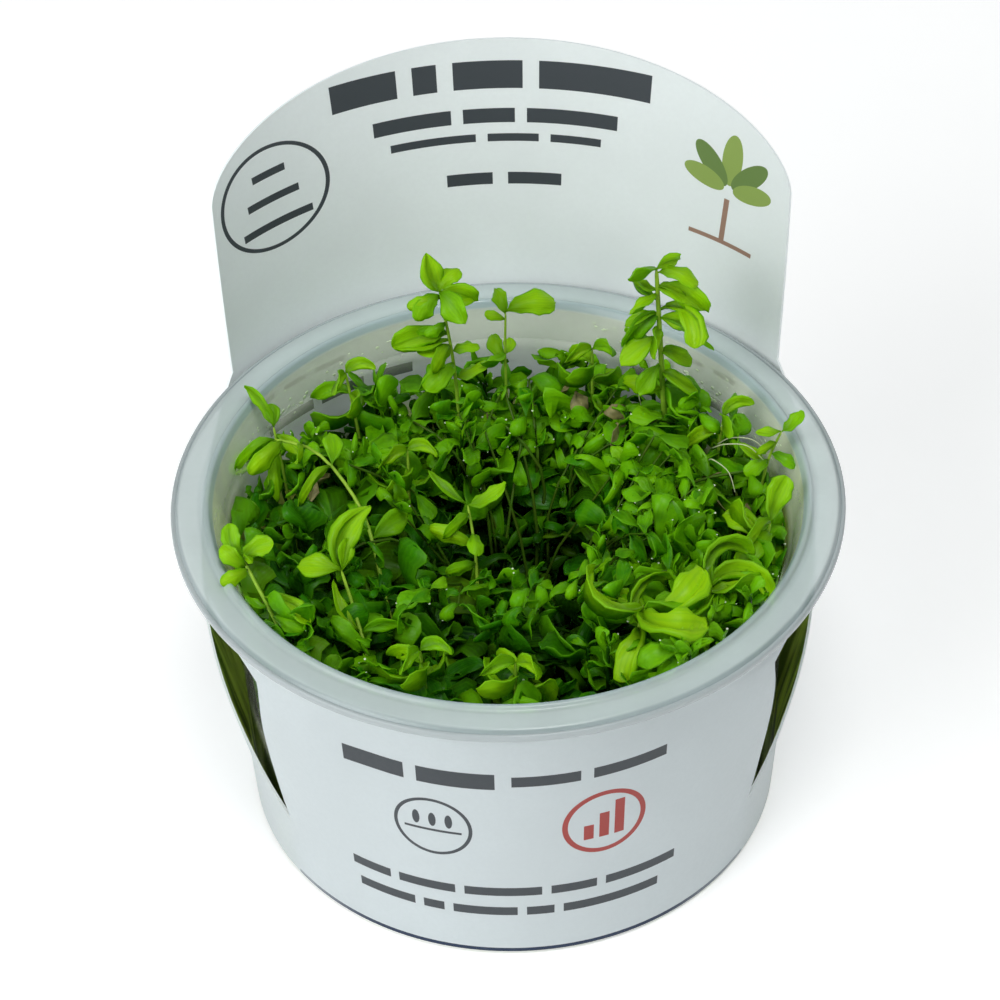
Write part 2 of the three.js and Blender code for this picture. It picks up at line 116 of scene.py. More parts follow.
class PlantSettings(bpy.types.PropertyGroup):
    """Sizes and colours of the pearlweed"""

    stems_per_tuft: number_of("Stems per Tuft", "Stems grown in each of the tufts", 24, IntProperty)
    leaf_length: length_of("Leaf Length", "Length of a middling leaf", 6.9)
    stem_radius: length_of("Stem Radius", "Radius of a middling stem", 0.42)
    front_height: length_of("Front Height", "Height of the leaves at the front and sides", 54.5)
    back_height: length_of("Back Height", "Height of the leaves at the back", 50)
    hollow_depth: length_of("Hollow Depth", "Depth of the hollow in the middle", 21)
    young: colour_of("Young Leaf", "Colour of the newest leaves", (0.22, 0.62, 0.002))
    mature: colour_of("Mature Leaf", "Colour of full-grown leaves", (0.036, 0.27, 0.001))
    old: colour_of("Old Leaf", "Colour of the lowest leaves", (0.001, 0.052, 0.001))
    stem: colour_of("Stem", "Colour of the stems", (0.40, 0.64, 0.05))


class StageSettings(bpy.types.PropertyGroup):
    """Camera and light"""

    distance: length_of("Distance", "From the camera to the middle of the rim", 550)
    elevation: angle_of("Elevation", "How steeply the camera looks down", 42.22)
    aim: length_of("Aim", "Height on the axis that the camera looks at", 57)
    roll: angle_of("Roll", "How far the camera leans to its right", 1.355)
    lens: number_of("Lens", "Focal length in millimetres", 133.56)
    key_power: number_of("Key Power", "Watts of the main softbox", 5.2)


def deselect():
    bpy.ops.object.select_all(action="DESELECT")


def edit(piece):
    """Opens a piece in edit mode and returns its mesh for selecting"""
    bpy.context.view_layer.objects.active = piece
    bpy.ops.object.mode_set(mode="EDIT")
    return bmesh.from_edit_mesh(piece.data)


def finish_edit():
    bpy.ops.object.mode_set(mode="OBJECT")


def settle(piece, name, materials, node=None):
    """Names a finished piece, gives it its materials and its place in the frame"""
    faces = piece.data.polygons
    indices = [min(face.material_index, len(materials) - 1) for face in faces]
    piece.name = name
    piece.data.name = name
    piece.data.materials.clear()
    for material in materials:
        piece.data.materials.append(material)
    faces.foreach_set("material_index", indices)
    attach(piece, BODY)
    if node:
        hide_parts(node)


def turned_body(profile, sides):
    """A closed body of revolution: a disc drawn up and resized ring by ring along the profile"""
    deselect()
    radius, height = profile[0]
    bpy.ops.mesh.primitive_circle_add(
        vertices=sides, radius=radius, fill_type="NGON", location=(0, 0, height)
    )
    piece = bpy.context.active_object
    bpy.ops.object.transform_apply(location=True)
    edit(piece)
    bpy.ops.mesh.select_all(action="SELECT")
    for next_radius, next_height in profile[1:]:
        bpy.ops.mesh.extrude_region_move(
            TRANSFORM_OT_translate={"value": (0, 0, next_height - height)}
        )
        share = next_radius / radius
        bpy.ops.transform.resize(value=(share, share, 1), center_override=(0, 0, next_height))
        radius, height = next_radius, next_height
    bpy.ops.mesh.select_all(action="SELECT")
    bpy.ops.mesh.normals_make_consistent(inside=False)
    finish_edit()
    return piece


def arc(centre, radius, start, end, steps):
    """Points on a round stretch of a profile, by degrees"""
    turns = [radians(start + (end - start) * k / steps) for k in range(steps + 1)]
    return [(centre[0] + radius * cos(t), centre[1] + radius * sin(t)) for t in turns]


def wall_radius(cup, height):
    """Inner radius of the wall, which springs out a little above the foot"""
    return cup.foot_radius + FOOT_FLARE - cup.wall + cup.taper * height


def beside(radius, height, steps):
    """Points of a profile, by millimetres out from a radius and up from a height"""
    return [(radius + out * MM, height + up * MM) for out, up in steps]


def cup_profile(cup):
    """Radius and height all round the cup's wall, from the foot up the outside and down the inside"""
    step, lip, edge = cup.step_height, cup.lip_radius, FLANGE_RADIUS
    flat = RIM_TOP - cup.flange_drop
    outer = wall_radius(cup, 0) + cup.wall
    wall_top = outer + cup.taper * (step - 0.8 * MM)
    corner_radius = wall_radius(cup, cup.floor)
    foot = arc((cup.foot_radius - 0.2 * MM, 0.8 * MM), 0.8 * MM, -90, -8, 5)
    belly = [(outer + cup.taper * step * share, step * share) for share in (0.2, 0.4, 0.6, 0.8)]
    shoulder = beside(wall_top, step, ((0, -0.8), (0.15, -0.1), (0.4, 0.5)))
    shoulder += beside(lip, flat, ((0.7, -1.5), (1.1, -0.95), (1.7, -0.9)))
    skirt = beside(edge, flat, ((-1.4, -0.9), (-0.9, -1.15), (-0.8, -1.7), (-0.45, -1.85)))
    skirt += beside(edge, flat, ((-0.12, -1.7), (0, -1.35)))
    roll = arc((edge - 0.35 * MM, flat - 0.85 * MM), 0.35 * MM, 0, 90, 5)
    flange = beside(edge, flat, ((-0.65, -0.6), (-0.85, -0.3), (-1.15, -0.05), (-1.5, 0)))
    flange += beside(lip, flat, ((2.2, 0), (1.8, -0.16), (1.45, -0.1)))
    bead = arc((lip + 0.7 * MM, RIM_TOP - 0.55 * MM), 0.55 * MM, 20, 165, 7)
    inside = beside(lip, flat, ((-0.1, -0.3),))
    inside += beside(
        wall_radius(cup, step), step, ((0.85, 1.9), (0.7, 1.2), (0.25, 0.75), (0, 0.2), (-0.05, -0.6))
    )
    bore = [(wall_radius(cup, step * share), step * share) for share in (0.8, 0.6, 0.4, 0.2)]
    corner = arc((corner_radius - 0.9 * MM, cup.floor + 0.9 * MM), 0.9 * MM, 0, -90, 5)
    return foot + belly + shoulder + skirt + roll + flange + bead + inside + bore + corner


class PEARLWEED_OT_cup(bpy.types.Operator):
    """Draws the clear flanged cup up from its foot, ring by ring"""

    bl_idname = "pearlweed.cup"
    bl_label = "Clear Cup"

    def execute(self, context):
        cup = context.scene.pearlweed_cup
        piece = turned_body(cup_profile(cup), cup.sides)
        bpy.ops.object.shade_smooth_by_angle(angle=radians(32))
        settle(piece, "clear_cup", [clear_plastic(cup)], node="cup")
        return {"FINISHED"}


# Degrees from the back where both slits start, and where the back panel passes the rim.
SLIT_ANGLE = 124
RIM_ANGLE = 55.5
# The two edges of a slit, as the height in millimetres and degrees from the back.
PANEL_EDGE = ((13, SLIT_ANGLE), (16, 119), (20, 113.5), (26, 106.5), (32, 95.5), (40, 82), (48, 69),
              (57, RIM_ANGLE))
FRONT_EDGE = ((13, SLIT_ANGLE), (16, 122.3), (20, 121.5), (26, 121.7), (33, 122.8), (40, 124.5), (45, 125.7),
              (46.8, 125.8), (47.6, 124), (48.4, 120), (51, 108))
# The front springs out between the slit and this angle.
ROLL_END = 152.0
SHIELD_BASE = 57 * MM
SHIELD_TOP = SLEEVE_BOX[1][2]
SHOULDER = 84 * MM
SHOULDER_ANGLE = 51.0
SHOULDER_TURN = 0.47 * pi
SLEEVE_TURN = 1.7
# Millimetres of card that the whole map covers.
UV_SPAN = 200.0


def smoothstep(value, low, high):
    share = min(1.0, max(0.0, (value - low) / (high - low)))
    return share * share * (3 - 2 * share)


def edge_angle(edge, height):
    """Degrees from the back of a slit's edge at a height"""
    heights, angles = zip(*edge)
    return float(np.interp(height / MM, heights, angles))


def panel_radius(sleeve, height):
    radius = sleeve.foot_radius + sleeve.taper * min(height, sleeve.slit_tip)
    radius += sleeve.panel_lean * max(0.0, min(height, SHIELD_BASE) - sleeve.slit_tip)
    return radius + sleeve.shield_lean * max(0.0, height - SHIELD_BASE)


def front_radius(sleeve, angle, height):
    near_slit = 1 - smoothstep(abs(angle), SLIT_ANGLE, ROLL_END)
    risen = smoothstep(height, sleeve.slit_tip, 45 * MM)
    return sleeve.foot_radius + sleeve.taper * height + sleeve.ear_flare * near_slit * risen


def sleeve_turn(height):
    """Below the rim the sleeve sits turned a little, so the left slit is nearer to the front"""
    return SLEEVE_TURN * (1 - smoothstep(height, 40 * MM, SHIELD_BASE))


def shield_point(side, row):
    """Angle and height above the rim: side runs from -1 to 1, row from 0 at the rim to 1"""
    turn, end = side * SHOULDER_TURN, cos(SHOULDER_TURN)
    top_angle = SHOULDER_ANGLE * sin(turn) / sin(SHOULDER_TURN)
    top_height = SHOULDER + (SHIELD_TOP - SHOULDER) * (cos(turn) - end) / (1 - end)
    base_angle = RIM_ANGLE * side
    return base_angle + (top_angle - base_angle) * row, SHIELD_BASE + (top_height - SHIELD_BASE) * row


def rolled_card(columns, rows, place):
    """A flat sheet of card, moved point by point to where place puts its column and row"""
    deselect()
    bpy.ops.mesh.primitive_grid_add(x_subdivisions=columns, y_subdivisions=rows, size=2)
    card = bpy.context.active_object
    uv = card.data.uv_layers.active or card.data.uv_layers.new(name="card")
    uv.name = "card"
    spots = [place(point.co.x, (point.co.y + 1) / 2) for point in card.data.vertices]
    for loop in card.data.loops:
        uv.data[loop.index].uv = spots[loop.vertex_index][1]
    for point in card.data.vertices:
        point.co = spots[point.index][0]
    return card


class PEARLWEED_OT_label_sleeve(bpy.types.Operator):
    """Rolls the card sleeve round the cup, with its slits and the rounded shield at the back"""

    bl_idname = "pearlweed.label_sleeve"
    bl_label = "Label Sleeve"

    low_rows = 4
    panel_rows = 22
    shield_rows = 22
    front_rows = 24
    panel_columns = 96
    front_columns = 56

    def execute(self, context):
        sleeve = context.scene.pearlweed_sleeve
        foot = SLEEVE_BOX[0][2]
        rows = self.low_rows + self.panel_rows + self.shield_rows

        def on_card(angle, radius, height, across, lift):
            turned = radians(angle - sleeve_turn(height))
            point = Vector((sin(turned) * radius, cos(turned) * radius, height))
            middle, span = panel_radius(sleeve, 30 * MM), UV_SPAN * MM
            return point, (0.5 + radians(across) * middle / span, lift + height / span)

        def low_height(row):
            return foot + (sleeve.slit_tip - foot) * row / self.low_rows

        def panel(side, share):
            row = share * rows
            if row <= self.low_rows:
                angle, height = SLIT_ANGLE * side, low_height(row)
            elif row <= self.low_rows + self.panel_rows:
                share = (row - self.low_rows) / self.panel_rows
                height = sleeve.slit_tip + (SHIELD_BASE - sleeve.slit_tip) * share
                angle = edge_angle(PANEL_EDGE, height) * side
            else:
                share = (row - self.low_rows - self.panel_rows) / self.shield_rows
                angle, height = shield_point(side, share)
            return on_card(angle, panel_radius(sleeve, height), height, angle, 0)

        def front(side, share):
            row = share * (self.low_rows + self.front_rows)
            if row <= self.low_rows:
                half, height = 180.0 - SLIT_ANGLE, low_height(row)
            else:
                share = (row - self.low_rows) / self.front_rows
                height = sleeve.slit_tip + (sleeve.front_top - sleeve.slit_tip) * share
                half = 180 - edge_angle(FRONT_EDGE, height)
            angle = 180 - half * side
            from_back = 180 - abs(half * side)
            across = half * side + sleeve_turn(height)
            return on_card(angle, front_radius(sleeve, from_back, height), height, across, 0.5)

        back = rolled_card(self.panel_columns, rows, panel)
        piece = rolled_card(self.front_columns, self.low_rows + self.front_rows, front)
        back.select_set(True)
        bpy.ops.object.join()
        edit(piece)
        bpy.ops.mesh.select_all(action="SELECT")
        bpy.ops.mesh.remove_doubles(threshold=0.05 * MM)
        bpy.ops.mesh.normals_make_consistent(inside=False)
        finish_edit()
        outward = sum((face.center.xy.dot(face.normal.xy)) for face in piece.data.polygons)
        wall = piece.modifiers.new("card", "SOLIDIFY")
        wall.thickness = sleeve.card
        wall.offset = -1 if outward > 0 else 1
        wall.material_offset = 1
        wall.material_offset_rim = 2
        finishes = [printed_outside(sleeve), printed_inside(sleeve), cut_edge()]
        for finish in finishes:
            piece.data.materials.append(finish)
        bpy.ops.object.modifier_apply(modifier=wall.name)
        bpy.ops.object.shade_smooth_by_angle(angle=radians(40))
        settle(piece, "card_sleeve", finishes, node="label_sleeve")
        return {"FINISHED"}


class PEARLWEED_OT_nutrient_gel(bpy.types.Operator):
    """Pours the clear gel, which creeps up a little where it meets the wall"""

    bl_idname = "pearlweed.nutrient_gel"
    bl_label = "Nutrient Gel"

    def execute(self, context):
        cup = context.scene.pearlweed_cup
        gap = 0.3 * MM
        low = GEL_BOX[0][2]
        wall = wall_radius(cup, GEL_TOP) - gap
        profile = arc((wall_radius(cup, low) - gap - 0.9 * MM, low + 0.9 * MM), 0.9 * MM, -90, 0, 4)
        profile += [(wall - 0.2 * MM, 0.6 * GEL_TOP), (wall, GEL_TOP), (wall - 0.05 * MM, GEL_TOP + 0.7 * MM)]
        profile += arc((wall - 1.6 * MM, GEL_TOP + 1.5 * MM), 1.5 * MM, -30, -90, 5)
        profile += [(wall * share, GEL_TOP) for share in (0.8, 0.5, 0.2, 0.05)]
        piece = turned_body(profile, 96)
        bpy.ops.object.shade_smooth_by_angle(angle=radians(50))
        settle(piece, "clear_gel", [clear_gel()], node="nutrient_gel")
        return {"FINISHED"}


class Shape:
    """A small mesh modelled by hand and kept as arrays, which Foliage copies"""

    def keep(self, piece):
        mesh = piece.data
        self.points = np.array([point.co for point in mesh.vertices])
        self.corners = np.array([loop.vertex_index for loop in mesh.loops])
        self.counts = np.array([face.loop_total for face in mesh.polygons])
        bpy.data.objects.remove(piece)


class LeafShape(Shape):
    """One leaf along +Z, one unit long, drawn from a flattened ball ring by ring"""

    def __init__(self, widths, curl=0.0, fold=0.0, twist=0.0, ruffle=0.0, segments=6):
        rings = len(widths) + 1
        turns = [pi * ring / rings for ring in range(1, rings)]
        heights = [0.5 - 0.5 * cos(turn) for turn in turns]
        deselect()
        bpy.ops.mesh.primitive_uv_sphere_add(
            segments=segments, ring_count=rings, radius=0.5, location=(0, 0, 0.5)
        )
        leaf = bpy.context.active_object
        bpy.ops.object.transform_apply(location=True)
        mesh = edit(leaf)
        bpy.ops.mesh.select_all(action="SELECT")
        bpy.ops.transform.resize(value=(1, 0.07, 1), center_override=(0, 0, 0.5))
        for ring, (width, height, turn) in enumerate(zip(widths, heights, turns), start=1):
            self.select(mesh, height, lambda across: True)
            share = width / (0.5 * sin(turn))
            bpy.ops.transform.resize(value=(share, 1, 1), center_override=(0, 0, height))
            self.select(mesh, height, lambda across: abs(across) < 0.4 * width)
            bpy.ops.transform.translate(value=(0, fold * width, 0))
            for side in (-1, 1):
                self.select(mesh, height, lambda across: side * across > 0.6 * width)
                lift = ruffle * sin(1.6 * ring + side)
                bpy.ops.transform.translate(value=(0.3 * lift, lift, 0))
        finish_edit()
        places = np.array([point.co for point in leaf.data.vertices])
        self.along = places[:, 2]
        self.across = places[:, 0] / np.interp(self.along, [0, *heights, 1], [1, *widths, 1])
        self.under = np.array([point.normal.y > 0 for point in leaf.data.vertices], dtype=float)
        for method, angle, axis in (("TWIST", twist, "Z"), ("BEND", curl, "X")):
            if angle:
                change = leaf.modifiers.new(method, "SIMPLE_DEFORM")
                change.deform_method = method
                change.deform_axis = axis
                change.angle = radians(angle)
                bpy.ops.object.modifier_apply(modifier=change.name)
        self.keep(leaf)

    @staticmethod
    def select(mesh, height, wanted):
        """Selects the points of one ring that lie in the wanted place across the leaf"""
        for point in mesh.verts:
            point.select = abs(point.co.z - height) < 0.01 and wanted(point.co.x)
        mesh.select_flush_mode()


class StemShape(Shape):
    """One stem: a tube of unit height and radius with a rounded tip"""

    def __init__(self, sides, steps):
        profile = [(1, step / steps) for step in range(steps)]
        self.keep(turned_body(profile + [(0.9, 0.985), (0.4, 1.0)], sides))
        self.across, self.along = self.points[:, 0], self.points[:, 2]
        self.under = np.zeros(len(self.points))


def bead_shape():
    """A small round bead of water"""
    return LeafShape((0.25, 0.433, 0.5, 0.433, 0.25))


def compass(angle, rise=0.0):
    """A unit direction at an angle from the back, lifted above level, both in degrees"""
    level = cos(radians(rise))
    return np.array([sin(radians(angle)) * level, cos(radians(angle)) * level, sin(radians(rise))])


def smooth_route(route, shares):
    """Points and directions at shares of a smooth line through the route's points"""
    route = np.array(route, dtype=float)
    spans = np.linalg.norm(np.diff(route, axis=0), axis=1)
    marks = np.concatenate([[0], np.cumsum(spans)]) / spans.sum()
    slopes = np.gradient(route, marks, axis=0)
    shares = np.clip(shares, 0, 1)
    index = np.clip(np.searchsorted(marks, shares, side="right") - 1, 0, len(marks) - 2)
    span = (marks[index + 1] - marks[index])[:, None]
    t = (shares - marks[index])[:, None] / span
    points = (
        (2 * t**3 - 3 * t**2 + 1) * route[index] + (t**3 - 2 * t**2 + t) * span * slopes[index]
        + (3 * t**2 - 2 * t**3) * route[index + 1] + (t**3 - t**2) * span * slopes[index + 1]
    )
    ahead = (
        (6 * t**2 - 6 * t) * route[index] / span + (3 * t**2 - 4 * t + 1) * slopes[index]
        + (6 * t - 6 * t**2) * route[index + 1] / span + (3 * t**2 - 2 * t) * slopes[index + 1]
    )
    return points, ahead / np.linalg.norm(ahead, axis=1)[:, None]


def on_route(route, share):
    """The point at one share of the way along a route"""
    return smooth_route(route, np.array([share]))[0][0]


class Foliage:
    """Collects copies of leaves and stems and joins them into one piece"""

    dewy_age = 0.35

    def __init__(self, flatten=None):
        self.flatten = flatten
        self.parts = []
        self.spots = []
        self.total = 0

    def take(self, shape, points, age, tint, kind):
        """Adds one copy: its map is across and along, its tone is age, tint and underside"""
        if self.flatten:
            points = self.flatten(points)
        blade = np.stack([shape.across, shape.along], axis=1)[shape.corners]
        tone = np.stack(np.broadcast_arrays(age, tint, shape.under, 1.0), axis=1)
        kinds = np.full(len(shape.counts), kind)
        self.parts.append((points, shape.corners + self.total, shape.counts, blade, tone, kinds))
        self.total += len(points)
        return points

    def leaf(self, shape, base, angle, rise, length, width, roll=0.0, hook=0.0, age=0.5, tint=0.5):
        """A leaf of a length and width at a bearing and rise, rolled and hooked by degrees"""
        ahead = compass(angle, rise)
        up = compass(angle, rise + 90)
        side = np.cross(ahead, up)
        side, up = (
            cos(radians(roll)) * side + sin(radians(roll)) * up,
            cos(radians(roll)) * up - sin(radians(roll)) * side,
        )
        x, y, z = shape.points.T
        swing = radians(hook or 0.1)
        forward = length * np.sin(swing * z) / swing - width * x * np.sin(swing * z)
        aside = length * (1 - np.cos(swing * z)) / swing + width * x * np.cos(swing * z)
        points = base + forward[:, None] * ahead + aside[:, None] * side - length * y[:, None] * up
        points = self.take(shape, points, age, tint, 0)
        if age < self.dewy_age:
            self.spots.append(points[len(points) // 3])

    def stem(self, shape, route, radius, taper=0.75, age=0.5, tint=0.5):
        """A stem along a route, which thins to a share of its radius at the tip"""
        middle, ahead = smooth_route(route, shape.along)
        side = np.cross(ahead, (0.0, 0.6, 0.8))
        side /= np.linalg.norm(side, axis=1)[:, None]
        other = np.cross(ahead, side)
        reach = (radius * (1 - (1 - taper) * shape.along))[:, None]
        points = middle + reach * (shape.points[:, :1] * side + shape.points[:, 1:2] * other)
        self.take(shape, points, age, tint, 1)

    def grow(self, name, materials, slot, node=None):
        """Joins the copies into one mesh and settles it"""
        points, corners, counts, blades, tones, kinds = map(np.concatenate, zip(*self.parts))
        mesh = bpy.data.meshes.new(name)
        mesh.vertices.add(len(points))
        mesh.vertices.foreach_set("co", points.ravel())
        mesh.loops.add(len(corners))
        mesh.loops.foreach_set("vertex_index", corners)
        mesh.polygons.add(len(counts))
        mesh.polygons.foreach_set("loop_start", np.concatenate([[0], np.cumsum(counts)[:-1]]))
        mesh.polygons.foreach_set("material_index", kinds)
        mesh.update(calc_edges=True)
        mesh.shade_smooth()
        uv = mesh.uv_layers.new(name="blade")
        uv.data.foreach_set("uv", (0.5 + 0.5 * blades).ravel())
        tone = mesh.color_attributes.new(name="tone", type="FLOAT_COLOR", domain="POINT")
        tone.data.foreach_set("color", tones.ravel())
        piece = bpy.data.objects.new(name, mesh)
        bpy.context.collection.objects.link(piece)
        settle(piece, name, materials, node)


SPATULA = (0.06, 0.08, 0.13, 0.25, 0.40, 0.49, 0.50, 0.40, 0.22)
SPOON = (0.05, 0.06, 0.09, 0.17, 0.32, 0.45, 0.50, 0.43, 0.24)
OVAL = (0.07, 0.14, 0.27, 0.41, 0.50, 0.48, 0.38, 0.24, 0.11)
STRAP = (0.08, 0.16, 0.26, 0.34, 0.40, 0.42, 0.40, 0.31, 0.16)


def leaf_shapes():
    """The leaves of the thicket, each modelled once: outline, bend, fold, twist and ruffle"""
    return [
        LeafShape(outline, curl=curl, fold=fold, twist=twist, ruffle=ruffle)
        for outline, curl, fold, twist, ruffle in (
            (SPATULA, 40, 0.30, 10, 0.04), (SPATULA, 90, 0.36, 25, 0.05), (SPATULA, 130, -0.26, -25, 0.04),
            (SPOON, 60, -0.34, 30, 0.05), (SPOON, 105, 0.42, -35, 0.06), (SPOON, 150, 0.34, 10, 0.05),
            (SPOON, -50, 0.40, 40, 0.05), (OVAL, 50, 0.46, -30, 0.08), (OVAL, 95, -0.36, 35, 0.07),
            (STRAP, 80, 0.36, 90, 0.05), (STRAP, 145, -0.32, -50, 0.06), (STRAP, 35, 0.48, -80, 0.06),
            (STRAP, 190, 0.30, 20, 0.05), (OVAL, 135, 0.50, 20, 0.08),
        )
    ]


def large_leaves():
    """Finer leaves for the single stems, by how far each one bends"""
    blade = (0.05, 0.07, 0.12, 0.24, 0.38, 0.48, 0.50, 0.46, 0.36, 0.22, 0.10)
    wavy = (0.05, 0.08, 0.19, 0.33, 0.36, 0.42, 0.50, 0.43, 0.40, 0.27, 0.12)
    pointed = (0.06, 0.14, 0.30, 0.42, 0.49, 0.50, 0.44, 0.33, 0.21, 0.11, 0.04)
    ribbon = (0.12, 0.22, 0.33, 0.41, 0.45, 0.47, 0.46, 0.43, 0.37, 0.27, 0.13)
    return {
        curl: LeafShape(outline, curl=curl, fold=fold, twist=twist, ruffle=0.04, segments=12)
        for curl, outline, fold, twist in (
            (-30, blade, 0.36, 15), (10, pointed, 0.60, -20), (20, wavy, 0.44, -25), (40, blade, 0.46, 30),
            (60, wavy, -0.36, -30), (85, blade, 0.42, 25), (115, wavy, -0.4, -25), (160, blade, 0.34, 15),
            (30, ribbon, 0.50, 25), (100, ribbon, 0.44, -30),
        )
    }


class PEARLWEED_OT_tufts(bpy.types.Operator):
    """Grows the thicket of leafy stems, one joined mesh for each tuft"""

    bl_idname = "pearlweed.tufts"
    bl_label = "Tufts"

    tufts = 10
    reach = 42.6 * MM
    hollow = (2 * MM, 6 * MM)
    bare_radius = 5 * MM
    golden_angle = 137.508
    pressed_stems = 84
    runners = 46
    beads = 420
    wall_leaves = (0, 3, 6, 9, 11)
    # The sunny spots, where the leaves are painted brighter (painted light); between them they are painted
    # darker (painted shade). Each is millimetres to the right and to the back, and reach.
    sunny = (
        (36, 3, 17), (24, 24, 14), (31, -18, 12), (22, -26, 8), (12, 31, 12), (-10, 29, 11),
        (-24, -28, 4), (-31, 20, 7), (-2, -38, 3), (34, 14, 14),
    )
    # The leaf pairs from the tip down: millimetres below the tip, size, rise and age.
    joints = (
        (0.1, 0.5, 75, 0.0), (1.8, 0.8, 65, 0.08), (4.8, 1.0, 55, 0.25), (8.8, 1.08, 42, 0.45),
        (13.2, 1.02, 30, 0.65), (18.0, 0.95, 18, 0.8), (23.0, 0.9, 8, 0.9), (28.0, 0.85, 0, 0.95),
        (32.5, 0.8, 0, 1),
    )
    inner_joints = 7

    def execute(self, context):
        self.cup, self.plant = context.scene.pearlweed_cup, context.scene.pearlweed_plant
        self.leaves, self.tube = leaf_shapes(), StemShape(5, 6)
        self.patches = [Foliage(self.pressed) for _ in range(self.tufts)]
        finishes = [leaf_finish(self.plant), stem_finish(self.plant)]
        count = self.plant.stems_per_tuft * self.tufts
        for number in range(count):
            out = self.reach * ((number + 0.5) / count) ** 0.5
            turn = radians(number * self.golden_angle)
            x, y = out * sin(turn), out * cos(turn)
            if self.from_hollow(x, y) >= self.bare_radius:
                self.plant_stem(np.random.RandomState(number + 11), x, y)
        for number in range(self.pressed_stems):
            chance = np.random.RandomState(number + 7001)
            side = 1 if number % 2 else -1
            self.press_stem(chance, side * (92 + 42 * (number + chance.uniform()) / self.pressed_stems))
        for number in range(self.runners):
            self.lay_runner(np.random.RandomState(number + 9001))
        self.bead_leaves()
        for number, patch in enumerate(self.patches, start=1):
            patch.grow(f"leafy_stems_{number:02d}", finishes, "leaves", f"tuft_{number:02d}")
        return {"FINISHED"}

    def from_hollow(self, x, y):
        return hypot(x - self.hollow[0], y - self.hollow[1])

    def patch_towards(self, bearing):
        return self.patches[int(bearing % 360 // (360 / self.tufts))]

    def patch_at(self, x, y):
        return self.patch_towards(degrees(atan2(x - self.hollow[0], y - self.hollow[1])))

    def shade(self, x, y):
        """How much older and darker the leaves are painted here: painted light in the sunny spots, painted
        shade in the dull places between
        """
        light = max(
            smoothstep(1.6 * reach - hypot(x / MM - east, y / MM - north), 0, reach)
            for east, north, reach in self.sunny
        )
        return 0.36 - 0.58 * light

    def surface(self, x, y):
        """Height of the leaves above a place on the gel"""
        plant = self.plant
        fall = plant.front_height - plant.back_height
        rim = plant.front_height - fall * smoothstep(y, 10 * MM, 38 * MM)
        rim += 2.5 * MM * smoothstep(hypot(x, y), 34 * MM, 41 * MM) * smoothstep(-y, 0, 20 * MM)
        return rim - plant.hollow_depth * (1 - smoothstep(self.from_hollow(x, y), 6 * MM, 22 * MM))

    def pressed(self, points):
        """Leaves that meet the clear wall lie flat against it, and above the lip they hang free"""
        radius = np.hypot(points[:, 0], points[:, 1])
        height = points[:, 2]
        bore = wall_radius(self.cup, height) - 0.35 * MM
        bore += np.clip((height - 50.5 * MM) / (6 * MM), 0, 1) * 1.6 * MM
        bore += np.clip(height - RIM_TOP, 0, 3 * MM)
        squeeze = np.minimum(1, bore / np.maximum(radius, 1e-6))
        points = points.copy()
        points[:, :2] *= squeeze[:, None]
        points[:, 2] = np.maximum(height, GEL_TOP + 0.2 * MM)
        return points

    def bead_leaves(self):
        """Beads of water on some of the young leaves"""
        dew, bead = Foliage(), bead_shape()
        spots = [spot for patch in self.patches for spot in patch.spots]
        chance = np.random.RandomState(77)
        for spot in chance.permutation(len(spots))[:self.beads]:
            size = chance.uniform(0.22, 0.45) * MM
            dew.leaf(bead, spots[spot] - (0, 0.5 * size, 0), 0, 0, size, size)
        dew.grow("dew_beads", [droplet_finish()], "gel")

    def lay_runner(self, chance):
        """A thin stem that strays through the top of the thicket"""
        way = chance.uniform(0, 360)
        start = np.array(self.hollow + (0,)) + compass(way) * chance.uniform(6, 18) * MM
        start[2] = self.surface(*start[:2]) - 3 * MM
        end = start + compass(way + chance.uniform(-70, 70)) * chance.uniform(9, 16) * MM
        end[2] = self.surface(*end[:2]) + chance.uniform(-3, 1) * MM
        middle = 0.5 * (start + end) + (0, 0, chance.uniform(0.5, 3) * MM)
        root = np.array([start[0] * 0.9, start[1] * 0.9, start[2] - 14 * MM])
        route = [root, start, middle, end]
        patch = self.patch_towards(way)
        patch.stem(self.tube, route, chance.uniform(0.2, 0.34) * MM, age=0.6)
        for share in (1.0, 0.82):
            base = on_route(route, share)
            for half in range(2):
                long = chance.uniform(3.5, 6.5) * MM
                patch.leaf(
                    self.leaves[chance.randint(len(self.leaves))], base,
                    way + 60 + 180 * half + chance.uniform(-40, 40), chance.uniform(0, 60), long,
                    long * chance.uniform(0.4, 0.6), age=chance.uniform(0, 0.4), tint=chance.uniform(),
                )

    def press_stem(self, chance, way):
        """A stem that grew up the clear wall, where the slits of the sleeve show it"""
        low, high = chance.uniform(12.4, 22) * MM, chance.uniform(36, 51) * MM
        drift = chance.uniform(-14, 14)
        route = [
            compass(way + drift * share) * (wall_radius(self.cup, height) - chance.uniform(0.7, 1.6) * MM)
            + (0, 0, height)
            for share, height in ((0, low), (0.3, 0.6 * low + 0.4 * high), (1, high))
        ]
        patch = self.patch_at(*route[1][:2])
        tint = chance.uniform(0.5, 1.0)
        patch.stem(self.tube, route, 0.45 * MM, tint=tint)
        for share in np.arange(0.02, 1.0, 0.12):
            base = on_route(route, share)
            for half in range(2):
                long = chance.uniform(5, 9) * MM
                patch.leaf(
                    self.leaves[chance.choice(self.wall_leaves)], base, way + 90 + 180 * half,
                    chance.uniform(-40, 80), long, long * chance.uniform(0.35, 0.55),
                    roll=90 * (1 - 2 * half), age=chance.uniform(0.35, 0.8), tint=tint,
                )

